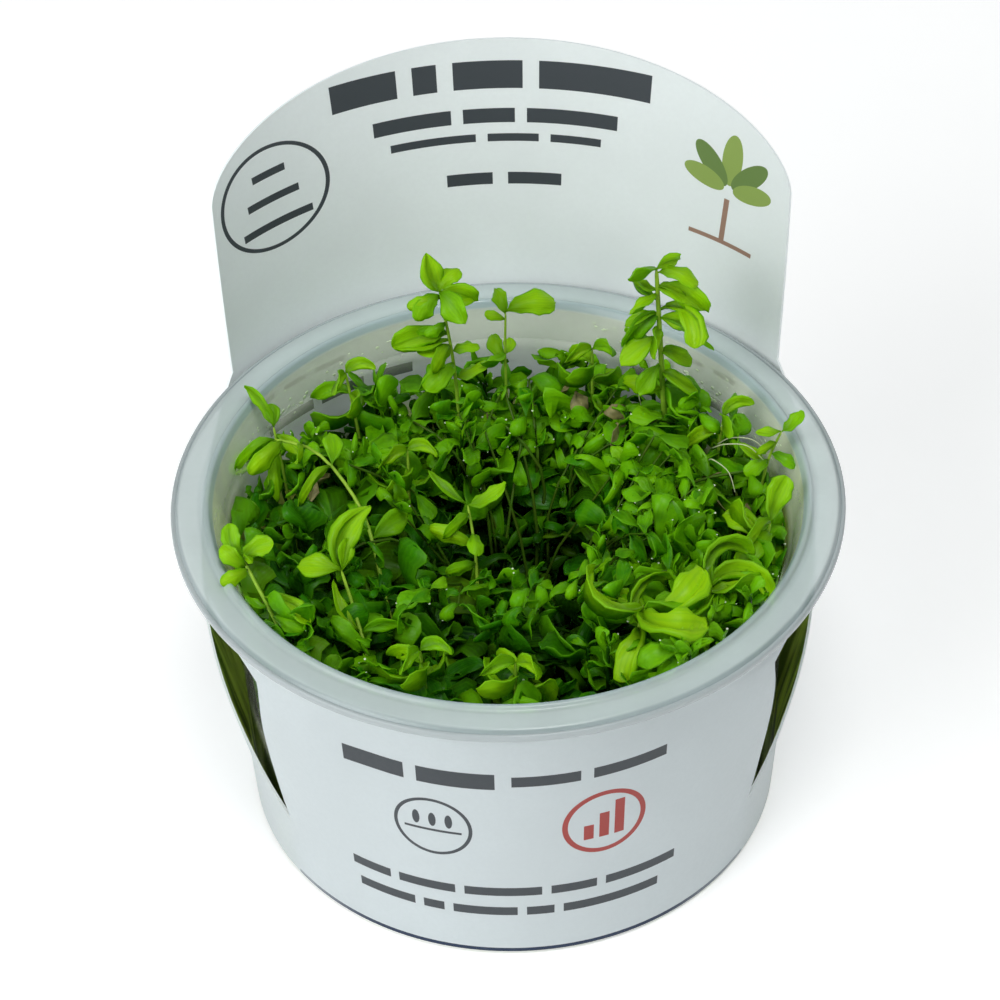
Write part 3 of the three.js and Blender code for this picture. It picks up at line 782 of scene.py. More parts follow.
    def plant_stem(self, chance, x, y):
        """A stem of the thicket with its pairs of leaves, lower in the dull places and painted older and
        darker there (painted shade)
        """
        clump = sin(x / (4.1 * MM) + 0.7) * sin(y / (3.7 * MM) + 0.3 * x / MM)
        dull = self.shade(x, y)
        top = self.surface(x, y) + (chance.uniform(-8.5, 1) + 2 * clump - 1.5 - 12 * max(dull, 0)) * MM
        lean = chance.uniform(-1, 1, 2) * 4.5 * MM
        root = np.array([x * 0.88 - lean[0] * 0.6, y * 0.88 - lean[1] * 0.6, GEL_TOP])
        middle = np.array([x * 0.93 + lean[1] * 0.5, y * 0.93 - lean[0] * 0.5, 0.55 * top])
        tip = np.array([x + lean[0], y + lean[1], top])
        route = [root, middle, 0.3 * middle + 0.7 * tip + np.array([0, 0, -0.5 * MM]), tip]
        length = sum(np.linalg.norm(np.diff(np.array(route), axis=0), axis=1))
        radius = self.plant.stem_radius * chance.uniform(0.75, 1.25)
        tint = chance.uniform()
        # How low the stem ends in the hollow; its leaves and stem are coloured older and darker there: partly
        # real age, partly painted shade.
        hollow_shade = 1 - smoothstep(top, 34 * MM, 50 * MM)
        patch = self.patch_at(x, y)
        # The thicket's stems are given a high age, which colours them nearly black-green: painted shade.
        patch.stem(self.tube, route, radius, age=0.8 + 0.2 * hollow_shade, tint=tint)
        outside = hypot(x, y) > 35 * MM
        turn = chance.uniform(0, 360)
        for down, size, rise, age in self.joints if outside else self.joints[:self.inner_joints]:
            down = down * MM * chance.uniform(0.9, 1.1)
            if down > length - 2 * MM:
                break
            base = on_route(route, 1 - down / length)
            turn += 90 + chance.uniform(-18, 18)
            # Painted light and shade: leaf colour is aged further in the hollow and in the dull places, less
            # in the sunny spots.
            age = min(1, age + 0.5 * hollow_shade + dull)
            for half in range(2 if chance.uniform() < 0.8 else 3):
                spread = 180 if half < 2 else 90
                long = self.plant.leaf_length * size * chance.uniform(0.6, 1.65)
                patch.leaf(
                    self.leaves[chance.randint(len(self.leaves))], base,
                    turn + spread * half + chance.uniform(-20, 20), rise + chance.uniform(-28, 38), long,
                    long * chance.uniform(0.25, 0.45), chance.uniform(-50, 50), chance.uniform(-140, 140),
                    float(np.clip(age + chance.uniform(-0.12, 0.16), 0, 1)),
                    tint * 0.6 + chance.uniform() * 0.4,
                )


def pairs(count, lowest, size, first_angle):
    """Opposite leaves up the end of a stem, each pair turned a quarter from the last"""
    leaves = []
    for pair in range(count):
        share = 1 - (1 - lowest) * pair / (count - 1)
        length = size * (0.95 + 0.2 * pair)
        for half in range(2):
            angle = first_angle + 90 * pair + 180 * half
            shape = (length, 0.44 * size, 30 + 70 * half, 0, 120 - 240 * half)
            leaves.append((share, angle, 50 - 18 * pair, *shape))
    return leaves


# The stems that stand out of the thicket. Each has its thickness, its route in millimetres, and its leaves
# as share of the way up, angle from the back, rise, length, width, bend, roll and, for some, sideways hook.
STEMS = {
    "stem_back_right": (1.7, [(26, 25, 12.3), (25.3, 24.5, 34), (24, 23, 58), (22.8, 21.8, 81)], [
        (1, 215, 50, 6, 5.4, 85, 10, 60), (1, 75, 45, 4.5, 4, 85, -40, 80),
        (0.99, 95, 25, 7, 3.6, 60, -35, 70), (0.95, 100, 20, 9.5, 5, 85, -40, 90),
        (0.95, 115, 25, 5.5, 3, 100, -40, 70), (0.94, 245, 30, 4.5, 3.5, 40, 40),
        (0.93, 210, 20, 6, 3.5, 85, 30), (0.87, 245, 5, 8, 4, 100, 30, -80),
        (0.87, 265, 25, 6, 3, 85, 35, -60), (0.88, 90, 45, 12, 3, 20, -20, 150),
        (0.86, 125, 5, 10, 2, 60, -35), (0.86, 135, 25, 6, 3.5, 40, -40),
        (0.8, 235, 25, 8, 4.6, 85, 40, -60), (0.7, 135, 15, 7.5, 3, 100, -35),
        (0.64, 240, 35, 7, 3.6, 115, 50), (0.91, 280, 35, 6, 3.5, 85, 40, 80),
        (0.83, 200, 20, 5.5, 3.2, 100, 20, -110), (0.77, 260, 30, 7, 3.4, 85, 40, 90),
        (0.76, 110, 35, 6, 3, 100, -40, 120), (0.72, 225, 10, 6.5, 3.6, 85, 30, -80),
        (0.66, 90, 30, 6.5, 3.4, 60, -40, 80), (0.58, 255, 20, 8.5, 4, 100, 40, -90),
        (0.57, 230, -10, 9, 3.5, 85, 30), (0.5, 215, 25, 9, 3.5, 115, 40)]),
    "stem_back_left": (1.1, [(-6, 29, 12.3), (-7.2, 28.5, 45), (-8, 28, 60), (-9.6, 27.5, 73)], [
        (1, 300, 65, 6.5, 4.6, 10, 25, 20), (1, 150, 20, 7, 6, 85, -20, 50),
        (1, 95, 25, 6.5, 4.6, 85, -35, 70), (0.99, 245, 5, 5.5, 4.4, 60, 30, -70),
        (1, 30, 60, 5, 4, 60, -20, 60), (0.98, 235, 15, 5.5, 3, 60, 35), (0.96, 120, 20, 5, 3, 60, -40),
        (0.9, 220, -10, 4, 2.5, 60, 25), (0.86, 265, 10, 9, 5, 20, 35), (0.84, 245, 10, 8.5, 4.5, 40, 35),
        (0.86, 260, 35, 5, 3, 60, 45), (0.82, 220, 20, 6, 4.5, 60, 35), (0.8, 245, 40, 6, 3.5, 40, 50),
        (0.8, 95, 30, 4.5, 3.5, 60, -40), (0.76, 195, 15, 7, 4.5, 60, 15), (0.72, 230, 35, 7, 4, 60, 45),
        (0.71, 100, 20, 6, 4, 60, -30)]),
    "stem_back_middle": (0.9, [(0, 31, 12.3), (0.2, 31, 45), (0.1, 31, 58), (0.3, 31, 66)], [
        (1, 85, 40, 8.5, 5, 60, -45, 70), (0.99, 300, 75, 5, 3, 115, 30), (0.97, 255, 40, 3.5, 1.8, 60, 45),
        (0.85, 195, 15, 5, 4, 40, 15), (0.84, 60, 50, 3, 2.5, 40, -30), (0.82, 285, 45, 5, 3, 60, 35)]),
    "stem_right": (1, [(36, 9, 12.3), (38, 8.5, 45), (39.5, 8, 56), (41, 7.5, 61)], [
        (1, 80, 35, 4.5, 3.4, 20, -40), (1, 255, 15, 4, 2.6, 40, 35), (0.95, 225, 20, 4, 2.4, 60, 40),
        (0.9, 125, 15, 4.5, 2.6, 60, -35), (0.87, 210, 20, 5, 2.8, 60, 30),
        (0.85, 300, 30, 5.5, 3, 40, 30)]),
    "stem_left_back": (1, [(-32, 15, 12.3), (-34, 16, 45), (-35.4, 18, 55)], [
        (1, 325, 65, 8, 3, 20, 20), (1, 30, 60, 4, 2.6, 40, -10), (0.97, 115, 0, 5, 3, 40, -35),
        (0.95, 240, -5, 7.5, 3.4, 40, 30), (0.93, 245, -10, 8.5, 3, 20, 30),
        (0.9, 200, 0, 8.5, 3.6, 60, 15)]),
    "stem_arching": (1.1, [(-16, -10, 12.3), (-18.4, -9, 43), (-23, 4, 53), (-30, 11, 57), (-35, 13, 57)], [
        (1, 250, 15, 8, 3.6, 60, 40), (0.98, 215, 5, 7.5, 4, 60, 25), (0.93, 195, 35, 4, 3, 60, 40),
        (0.84, 235, 15, 8.5, 3, 60, 35), (0.84, 20, 40, 6, 3.6, 40, 10), (0.66, 300, 40, 7, 3, 115, 50),
        (0.64, 90, 50, 7, 4.6, 85, -40)]),
    "stem_pointed_leaf": (1.2, [(-17, -24, 12.3), (-20.2, -26, 45), (-22.6, -19, 51), (-24.6, -13, 54)], [
        (1, 335, 60, 11.5, 5.2, 10, 10), (1, 260, 45, 7, 5, 85, 45), (1, 60, 60, 5, 3.4, 40, -50),
        (0.8, 280, 45, 9, 3, 40, 40), (0.8, 95, 45, 6.5, 3.2, 40, -45), (0.74, 275, 55, 7.5, 4, 60, 45)]),
    "stem_lip_left": (1.2, [(-28, -20, 12.3), (-31.5, -25, 48), (-35.5, -20, 55), (-38.6, -15, 58.5)], [
        (1, 285, 45, 6, 3.4, 20, 35), (1, 60, 60, 5.5, 4, 20, -35), (1, 150, 70, 3, 2.4, 40, -60),
        (0.98, 245, 40, 5, 3.4, 60, 50), (0.97, 210, 15, 5, 3, 60, 30), (0.88, 105, 25, 9, 3, 20, -40),
        (0.85, 245, 25, 4, 2.4, 40, 40), (0.82, 135, 40, 6, 3.4, 60, -50)]),
    "stem_centre": (1, [(-4, -8, 12.3), (-4.8, -8, 40), (-5.2, -3, 50), (-6, 0.5, 54)], [
        (1, 105, 25, 7, 4, 20, -50), (1, 280, 40, 8, 2.6, 40, 40), (0.97, 220, 20, 6, 3.6, 60, 35),
        (0.9, 175, 30, 5, 3, 60, -10), (0.86, 270, 40, 7.5, 3.2, 60, 40), (0.8, 240, 20, 5, 3, 60, 40)]),
    "stem_broad_front": (1.3, [(16, -20, 12.3), (18, -23, 46), (19, -25, 57)], [
        (1, 105, 30, 16, 3.6, 30, 30, -200), (1, 235, 5, 14, 4, 30, 20, 170),
        (0.98, 195, 20, 14, 3.8, 30, -20, -170), (0.95, 140, 25, 14, 3.8, 30, -30, -140),
        (0.92, 80, 25, 11, 3.6, 100, -30, 120), (0.9, 300, 50, 12, 3.2, 30, 30, 170),
        (0.88, 170, 25, 10, 3.6, 100, 10, 140), (0.9, 10, 40, 9, 3.6, 30, 10, -120)]),
    "stem_broad_right": (1.3, [(25, -15, 12.3), (27.5, -19, 46), (29, -21, 57)], [
        (1, 320, 45, 13, 3.6, 30, 20, 180), (1, 30, 30, 13, 3.6, 30, -20, 170),
        (0.97, 125, 30, 9, 3.6, 100, -30, -120), (0.95, 170, 25, 12, 3.6, 30, -15, 140),
        (0.9, 215, 30, 10, 3.6, 60, 25, -130), (0.88, 45, 55, 10, 3.6, 85, -40, 110),
        (0.87, 350, 45, 11, 3.4, 30, -10, 150)]),
    "stem_right_bright": (1, [(35, -4, 12.3), (37.5, -5, 46), (38.6, -6, 55)], [
        (1, 20, 65, 7.5, 4.6, 20, -35, 40), (1, 235, 45, 8, 3.8, 60, 35, -100),
        (0.95, 180, 35, 9, 3.8, 60, 0, 110), (0.9, 265, 50, 9, 3.6, 85, 30, 120),
        (0.87, 330, 60, 9, 3.8, 40, 30, -90)]),
    "stem_front_middle": (1, [(0, -30, 12.3), (0.4, -33, 46), (0.5, -35, 56)], pairs(3, 0.85, 6.5, 95)),
    "stem_front_left": (1, [(-12, -27, 12.3), (-12.5, -30, 46), (-13, -32, 56)], pairs(3, 0.85, 6.5, 60)),
    "stem_back_far_left": (1, [(-22, 26, 12.3), (-23, 27, 45), (-24.5, 28, 57)], pairs(3, 0.83, 6, 40)),
    "stem_back_low": (1, [(13, 30, 12.3), (13.5, 30.5, 45), (13.5, 30, 59)], pairs(4, 0.8, 6, 80)),
    "stem_right_back": (1, [(31, 17, 12.3), (32, 17, 45), (33, 16, 57)], pairs(3, 0.83, 6, 20)),
    "stem_middle_left": (1, [(-14, 8, 12.3), (-15, 9, 42), (-15, 12, 55)], pairs(3, 0.85, 6.5, 70)),
}


class PEARLWEED_OT_single_stems(bpy.types.Operator):
    """Grows the stems that stand out of the thicket, each a piece of its own"""

    bl_idname = "pearlweed.single_stems"
    bl_label = "Single Stems"

    def execute(self, context):
        plant = context.scene.pearlweed_plant
        shapes = large_leaves()
        tube = StemShape(10, 24)
        finishes = [leaf_finish(plant), stem_finish(plant)]
        for number, (node, (thickness, route, leaves)) in enumerate(STEMS.items()):
            chance = np.random.RandomState(number + 501)
            growth = Foliage()
            route = np.array(route) * MM
            growth.stem(tube, route, 0.4 * thickness * MM, taper=0.5, age=0.1, tint=0.6)
            for share, angle, rise, length, width, bend, roll, *hook in leaves:
                shape = shapes[min(shapes, key=lambda curl: abs(curl - bend))]
                roll += chance.uniform(-10, 10)
                hook = hook[0] if hook else chance.uniform(-90, 90)
                age = 0.4 * (1 - share) + 0.1 * chance.uniform()
                tint = chance.uniform(0.9, 2.3) - 1.5 * (1 - share)
                size = (length * MM, 0.8 * width * MM)
                growth.leaf(shape, on_route(route, share), angle, rise, *size, roll, hook, age, tint)
            growth.grow(f"leafy_{node}", finishes, "leaves", node)
        return {"FINISHED"}


class Finish:
    """A material and the nodes that are added to it"""

    def __init__(self, name):
        self.material = bpy.data.materials.new(name)
        self.material.use_nodes = True
        self.tree = self.material.node_tree
        self.shader = self.tree.nodes["Principled BSDF"]
        self.output = self.tree.nodes["Material Output"]

    def add(self, kind, sockets=None, **settings):
        """Adds a node, sets it up, and fills its sockets with numbers or with other nodes' outputs"""
        node = self.tree.nodes.new("ShaderNode" + kind)
        for name, value in settings.items():
            setattr(node, name, value)
        self.fill(node, sockets or {})
        return node

    def fill(self, node, sockets):
        for key, value in sockets.items():
            if isinstance(value, bpy.types.NodeSocket):
                self.tree.links.new(value, node.inputs[key])
            else:
                node.inputs[key].default_value = value

    def math(self, operation, *values):
        return self.add("Math", dict(enumerate(values)), operation=operation).outputs[0]

    def times(self, first, second):
        return self.math("MULTIPLY", first, second)

    def plus(self, first, second):
        return self.math("ADD", first, second)

    def mix(self, share, first, second):
        """Colour between two colours"""
        node = self.add("Mix", data_type="RGBA")
        self.fill(node, {0: share, 6: first, 7: second})
        return node.outputs[2]

    def band(self, value, low, high, first=0.0, second=1.0):
        """A smooth change from first to second while value goes from low to high"""
        node = self.add("MapRange", interpolation_type="SMOOTHSTEP")
        self.fill(node, {0: value, 1: low, 2: high, 3: first, 4: second})
        return node.outputs[0]

    def vary(self, noise, first, second):
        """A smooth change from first to second over the middle of a noise"""
        return self.band(noise, 0.3, 0.7, first, second)

    def place(self):
        return self.add("TexCoord").outputs["Object"]

    def noise(self, place, scale, detail, **sockets):
        return self.add("TexNoise", {"Vector": place, "Scale": scale, "Detail": detail, **sockets}).outputs[0]

    def grain(self, scale, detail=3.0):
        return self.noise(self.place(), scale, detail, Roughness=0.55)

    def streaks(self, place, stretch, scale):
        """Noise drawn out along an axis"""
        drawn = self.add("Mapping", {"Vector": place, "Scale": stretch}).outputs[0]
        return self.noise(drawn, scale, 2.0)

    def tone(self):
        """Age, tint and underside of a copied leaf or stem"""
        tone = self.add("Attribute", attribute_name="tone").outputs["Color"]
        return self.add("SeparateColor", {"Color": tone}).outputs

    def bump(self, height, strength, depth):
        node = self.add("Bump", {"Height": height, "Strength": strength, "Distance": depth * MM})
        self.fill(self.shader, {"Normal": node.outputs[0]})

    def coat(self, colour, roughness, sockets=None):
        self.fill(self.shader, {"Base Color": colour, "Roughness": roughness, **(sockets or {})})

    def shine_through(self, share, colour):
        """Lets a share of the light through to the other side"""
        through = self.add("BsdfTranslucent", {"Color": colour})
        both = self.add("MixShader", {0: share, 1: self.shader.outputs[0], 2: through.outputs[0]})
        self.fill(self.output, {"Surface": both.outputs[0]})


def solid(colour, share=1.0):
    """A colour without transparency, darkened to a share"""
    return (*[channel * share for channel in colour], 1.0)


def grained(name, grain, colours, roughness, bump=None, sockets=None, crisp=False):
    """A plain finish whose colour and roughness follow one grain of a scale and detail"""
    finish = Finish(name)
    noise = finish.grain(*grain)
    colour = finish.mix(finish.vary(noise, 0.0, 1.0) if crisp else noise, *map(solid, colours))
    finish.coat(colour, finish.vary(noise, *roughness), sockets)
    if bump:
        finish.bump(noise, *bump)
    return finish, noise


def clear_plastic(cup):
    """Milky clear plastic; its low wall is painted with streaky plant greens, a painted refraction of the
    plants behind it
    """
    finish = Finish("clear_plastic")

    def band(place, low, high, first=0.0, second=1.0):
        """A smooth change between two heights or radii in millimetres"""
        return finish.band(place, low * MM, high * MM, first, second)

    cloud = finish.grain(70, detail=4)
    haze = finish.times(finish.grain(900, detail=2), 0.03)
    place = finish.place()
    height = finish.add("SeparateXYZ", {"Vector": place}).outputs[2]
    level = finish.add("VectorMath", {0: place, 1: (1, 1, 0)}, operation="MULTIPLY").outputs[0]
    radius = finish.add("VectorMath", {0: level}, operation="LENGTH").outputs[1]
    brim = finish.math("MAXIMUM", band(height, 56.0, 56.6), band(radius, 44.6, 45.4))
    brim = finish.times(brim, band(height, 53.0, 54.5))
    rim = FLANGE_RADIUS / MM
    # Painted shade under the flange's rolled edge: the edge and the crease just inside it are darkened, and
    # the edge made a little more opaque.
    edge = band(radius, rim - 0.65, rim - 0.4)
    painted_crease_shade = finish.math("SUBTRACT", band(radius, rim - 1.3, rim - 0.9), edge)
    painted_crease_shade = finish.times(painted_crease_shade, 0.6)
    # Painted refraction of the plants: below about 27 mm the wall is painted in streaky greens and made
    # nearly opaque.
    foot = band(height, 19, 27, 0.85, 0.0)
    streaks = finish.streaks(place, (1.0, 1.0, 0.12), 260.0)
    greens = finish.mix(finish.band(streaks, 0.4, 0.6), (0.03, 0.05, 0.006, 1), (0.14, 0.27, 0.03, 1))
    wall_tint, bead_tint, flange_tint = (0.95, 1.0, 0.86, 1), (0.30, 0.44, 0.50, 1), (0.86, 0.94, 0.93, 1)
    # Colours of the painted shade at the rolled edge and in the crease.
    edge_shade_tint, crease_shade_tint = (0.42, 0.47, 0.48, 1), (0.20, 0.26, 0.28, 1)
    tint = finish.mix(finish.vary(cloud, 0.0, 1.0), solid(cup.colour, 0.92), solid(cup.colour))
    tint = finish.mix(band(radius, 44.0, 45.6, 0.5, 0.0), tint, bead_tint)
    tint = finish.mix(band(radius, 45.6, 46.4, 0.0, 0.22), tint, flange_tint)
    tint = finish.mix(painted_crease_shade, finish.mix(edge, tint, edge_shade_tint), crease_shade_tint)
    tint = finish.mix(foot, finish.mix(brim, wall_tint, tint), greens)
    clouded = finish.plus(band(height, 46, 53, 0.03, 0.3), haze)
    alpha = finish.plus(finish.plus(clouded, finish.times(brim, 0.36)), foot)
    alpha = finish.plus(alpha, finish.times(edge, 0.2))
    finish.coat(tint, finish.band(cloud, 0.25, 0.75, 0.16, 0.27), {"IOR": 1.49, "Alpha": alpha})
    finish.bump(cloud, 0.12, 0.4)
    return finish.material


def clear_gel():
    """Agar with a slight cloud in it, greened by the roots and leaves"""
    greens = ((0.16, 0.24, 0.03), (0.34, 0.42, 0.09))
    finish, cloud = grained("clear_agar", (120, 4), greens, (0.05, 0.16), (0.2, 0.6), {"IOR": 1.34})
    finish.fill(finish.shader, {"Alpha": finish.band(cloud, 0.2, 0.8, 0.7, 0.9)})
    return finish.material


def droplet_finish():
    """Water bead whose near-white, mostly opaque colour is a painted glint"""
    # Near-white colour and high alpha: a painted glint on a real bead of water.
    clear = ((0.80, 1.0, 0.60), (0.98, 1.0, 0.90))
    finish, ripple = grained("water_bead", (300, 1), clear, (0.02, 0.06), None, {"IOR": 1.33})
    finish.fill(finish.shader, {"Alpha": finish.vary(ripple, 0.7, 0.9)})
    return finish.material


def cut_edge():
    """The bright raw edge of the card"""
    whites = ((0.82, 0.87, 0.88), (0.86, 0.91, 0.92))
    return grained("cut_card_edge", (2600, 2), whites, (0.7, 0.9), (0.1, 0.05))[0].material


def dry_leaf_finish():
    """Dull olive and brown withered leaf"""
    browns = ((0.10, 0.10, 0.02), (0.34, 0.30, 0.12))
    return grained("withered_leaf", (450, 4), browns, (0.5, 0.7), (0.5, 0.3), crisp=True)[0].material


def root_finish():
    """White root hair"""
    whites = ((0.42, 0.48, 0.26), (0.66, 0.70, 0.46))
    return grained("root_hair", (1500, 2), whites, (0.4, 0.55), (0.3, 0.05))[0].material


def floor_finish():
    """Pale floor that glows a little, as the white ground of the photo does"""
    glow = {"Emission Color": (1, 1, 1, 1), "Emission Strength": 0.3}
    whites = ((0.92, 0.92, 0.92), (0.94, 0.94, 0.94))
    return grained("pale_floor", (40, 3), whites, (0.8, 0.9), sockets=glow)[0].material


def leaf_finish(plant):
    """Wet living leaf: colour from age, a paler midrib, veins, and light that shines through; the base of the
    blade is painted darker (painted shade) and the margin paler (painted light at the thin edge)
    """
    finish = Finish("living_leaf")
    band, mix, times = finish.band, finish.mix, finish.times
    tone = finish.tone()
    blade = finish.add("SeparateXYZ", {"Vector": finish.add("UVMap", uv_map="blade").outputs[0]})
    across = finish.math("ABSOLUTE", finish.math("SUBTRACT", blade.outputs[0], 0.5))
    along = blade.outputs[1]
    blotch = finish.grain(520)
    age = finish.plus(tone[0], finish.vary(blotch, -0.08, 0.08))
    years = finish.add("ValToRGB", {"Fac": age})
    ramp = years.color_ramp.elements
    ramp[0].color, ramp[0].position = solid(plant.young), 0.0
    ramp[1].color, ramp[1].position = solid(plant.old), 0.95
    ramp.new(0.42).color = solid(plant.mature)
    yellow, pale_green, streak_green = (0.41, 0.76, 0.005, 1), (0.24, 0.62, 0.008, 1), (0.12, 0.46, 0.006, 1)
    under_green, lit_green = (0.09, 0.36, 0.006, 1), (0.22, 0.80, 0.004, 1)
    colour = mix(band(tone[1], 0.35, 1.9, 0.0, 0.95), years.outputs[0], yellow)
    # Painted shade: the blade is darkened towards its base.
    colour = mix(band(along, 0.5, 0.85, 0.6, 0.0), colour, solid(plant.mature, 0.5))
    midrib = times(band(across, 0.0, 0.05, 0.3, 0.0), band(along, 0.5, 1.0, 1.0, 0.2))
    # Painted light at the thin margin: the edge of the blade is paler.
    lit_margin = band(across, 0.25, 0.5, 0.0, 0.5)
    pale = times(finish.math("MAXIMUM", midrib, lit_margin), band(age, 0.2, 0.8, 1.0, 0.25))
    colour = mix(pale, colour, pale_green)
    streak = band(finish.math("SINE", times(across, 75.0)), -0.2, 1.0, 0.0, 0.22)
    colour = mix(streak, colour, streak_green)
    colour = mix(times(tone[2], 0.2), colour, under_green)
    veins = finish.math("SINE", finish.plus(times(along, 30.0), times(across, -34.0)))
    finish.coat(colour, finish.vary(blotch, 0.28, 0.5), {"IOR": 1.42, "Specular IOR Level": 0.22})
    finish.bump(finish.plus(times(veins, 0.25), blotch), 0.35, 0.12)
    finish.shine_through(0.3, mix(0.4, colour, lit_green))
    return finish.material


def stem_finish(plant):
    """Juicy stem with fine lengthwise lines, darker where it is older; the nearly black-green of the
    thicket's stems is painted shade
    """
    finish = Finish("living_stem")
    fibre = finish.grain(700, detail=2)
    # Nearly black-green for the oldest stems: partly real age, mostly painted shade in the thicket.
    old_and_shaded_green = (0.010, 0.048, 0.002, 1)
    colour = finish.mix(finish.band(finish.tone()[0], 0.1, 0.78), solid(plant.stem), old_and_shaded_green)
    colour = finish.mix(finish.band(fibre, 0.35, 0.65, 0.0, 0.25), colour, solid(plant.mature))
    finish.coat(colour, finish.vary(fibre, 0.28, 0.42), {"IOR": 1.42, "Specular IOR Level": 0.25})
    finish.bump(fibre, 0.3, 0.1)
    finish.shine_through(0.2, colour)
    return finish.material


class Print(Finish):
    """Coated card with flat printed shapes, laid out in millimetres on the sleeve's own map"""

    def __init__(self, name, card, lift):
        super().__init__(name)
        place = self.add("SeparateXYZ", {"Vector": self.add("UVMap", uv_map="card").outputs[0]})
        self.x = self.times(self.math("SUBTRACT", place.outputs[0], 0.5), UV_SPAN)
        self.y = self.times(self.math("SUBTRACT", place.outputs[1], lift), UV_SPAN)
        self.from_middle = self.math("ABSOLUTE", self.x)
        self.spot = self.add("CombineXYZ", {0: self.x, 1: self.y, 2: 0.0}).outputs[0]
        self.fibre = self.grain(1400)
        clouded = self.mix(self.vary(self.grain(55), 0.0, 1.0), solid(card), solid(card, 0.96))
        self.colour = self.mix(self.vary(self.fibre, 0.0, 0.3), clouded, solid(card, 0.93))

    def paint(self, mask, ink):
        self.colour = self.mix(mask, self.colour, ink)

    def bars(self, ink, *rows):
        """Rows of plain bars, each at a height, of a thickness, with the left and right end of its bars"""
        for y, height, *spans in rows:
            row = self.math("COMPARE", self.y, y, 0.5 * height)
            bars = [
                self.math("COMPARE", self.x, 0.5 * (left + right), 0.5 * (right - left))
                for left, right in spans
            ]
            self.paint(self.times(row, reduce(self.plus, bars)), ink)

    def ring(self, x, y, radius, line, ink):
        distance = self.add("VectorMath", {0: self.spot, 1: (x, y, 0)}, operation="DISTANCE").outputs[1]
        self.paint(self.math("COMPARE", distance, radius, 0.5 * line), ink)

    def oval(self, x, y, length, width, angle, ink):
        turned = self.add("Mapping", {
            "Vector": self.spot,
            "Location": (x, y, 0),
            "Rotation": (0, 0, radians(angle)),
            "Scale": (0.5 * length, 0.5 * width, 1),
        }, vector_type="TEXTURE").outputs[0]
        size = self.add("VectorMath", {0: turned}, operation="LENGTH").outputs[1]
        self.paint(self.math("LESS_THAN", size, 1.0), ink)

    def done(self):
        self.coat(self.colour, self.vary(self.fibre, 0.38, 0.5), {"Specular IOR Level": 0.4})
        self.bump(self.fibre, 0.08, 0.05)
        self.shine_through(0.2, self.colour)
        return self.material


RED = (0.42, 0.055, 0.045, 1)
# Dark blue of the line along the bottom edge.
BOTTOM_LINE_BLUE = (0.004, 0.022, 0.07, 1)
LEAF_INK = (0.30, 0.42, 0.10, 1)
LEAF_INK_DARK = (0.16, 0.26, 0.07, 1)
EARTH_INK = (0.36, 0.22, 0.16, 1)
# Dark and bright greens of the painted plant light on the card's inner face.
PLANT_LIGHT_GREENS = ((0.15, 0.24, 0.015, 1), (0.86, 1.0, 0.20, 1))


def printed_outside(sleeve):
    """The front of the sleeve, with plain bars in the place of words and two plain signs"""
    card = Print("printed_card_front", sleeve.colour, 0.5)
    ink = solid(sleeve.ink)
    # A dark blue line along the bottom edge, fading out towards the sides.
    bottom_line = card.math("COMPARE", card.y, SLEEVE_BOX[0][2] / MM + 0.35, 0.45)
    card.paint(card.times(bottom_line, card.band(card.from_middle, 22.0, 62.0, 1.0, 0.0)), BOTTOM_LINE_BLUE)
    card.bars(ink, (40.5, 3.4, (-27, -17), (-15, -3)), (40.5, 2.2, (-0.5, 10), (12, 24)))
    card.ring(14, 29, 6.4, 0.9, RED)
    for step, height in enumerate((3.2, 5.4, 7.6)):
        card.bars(RED, (25.6 + 0.5 * height, height, (10.6 + 2.5 * step, 12.2 + 2.5 * step)))
    card.ring(-13, 29, 6.0, 0.6, ink)
    card.bars(ink, (28.2, 0.5, (-17.6, -8.4)))
    for x in (-15.6, -13, -10.4):
        card.oval(x, 30.6, 3.0, 1.2, 90, ink)
    card.bars(
        ink, (15.2, 1.9, (-28, -21), (-19.5, -10), (-8.5, 4), (5.5, 13), (14.5, 27)),
        (10.6, 1.9, (-27, -17), (-15.5, -12), (-10.5, 0), (1.5, 6), (7.5, 24)),
    )
    return card.done()


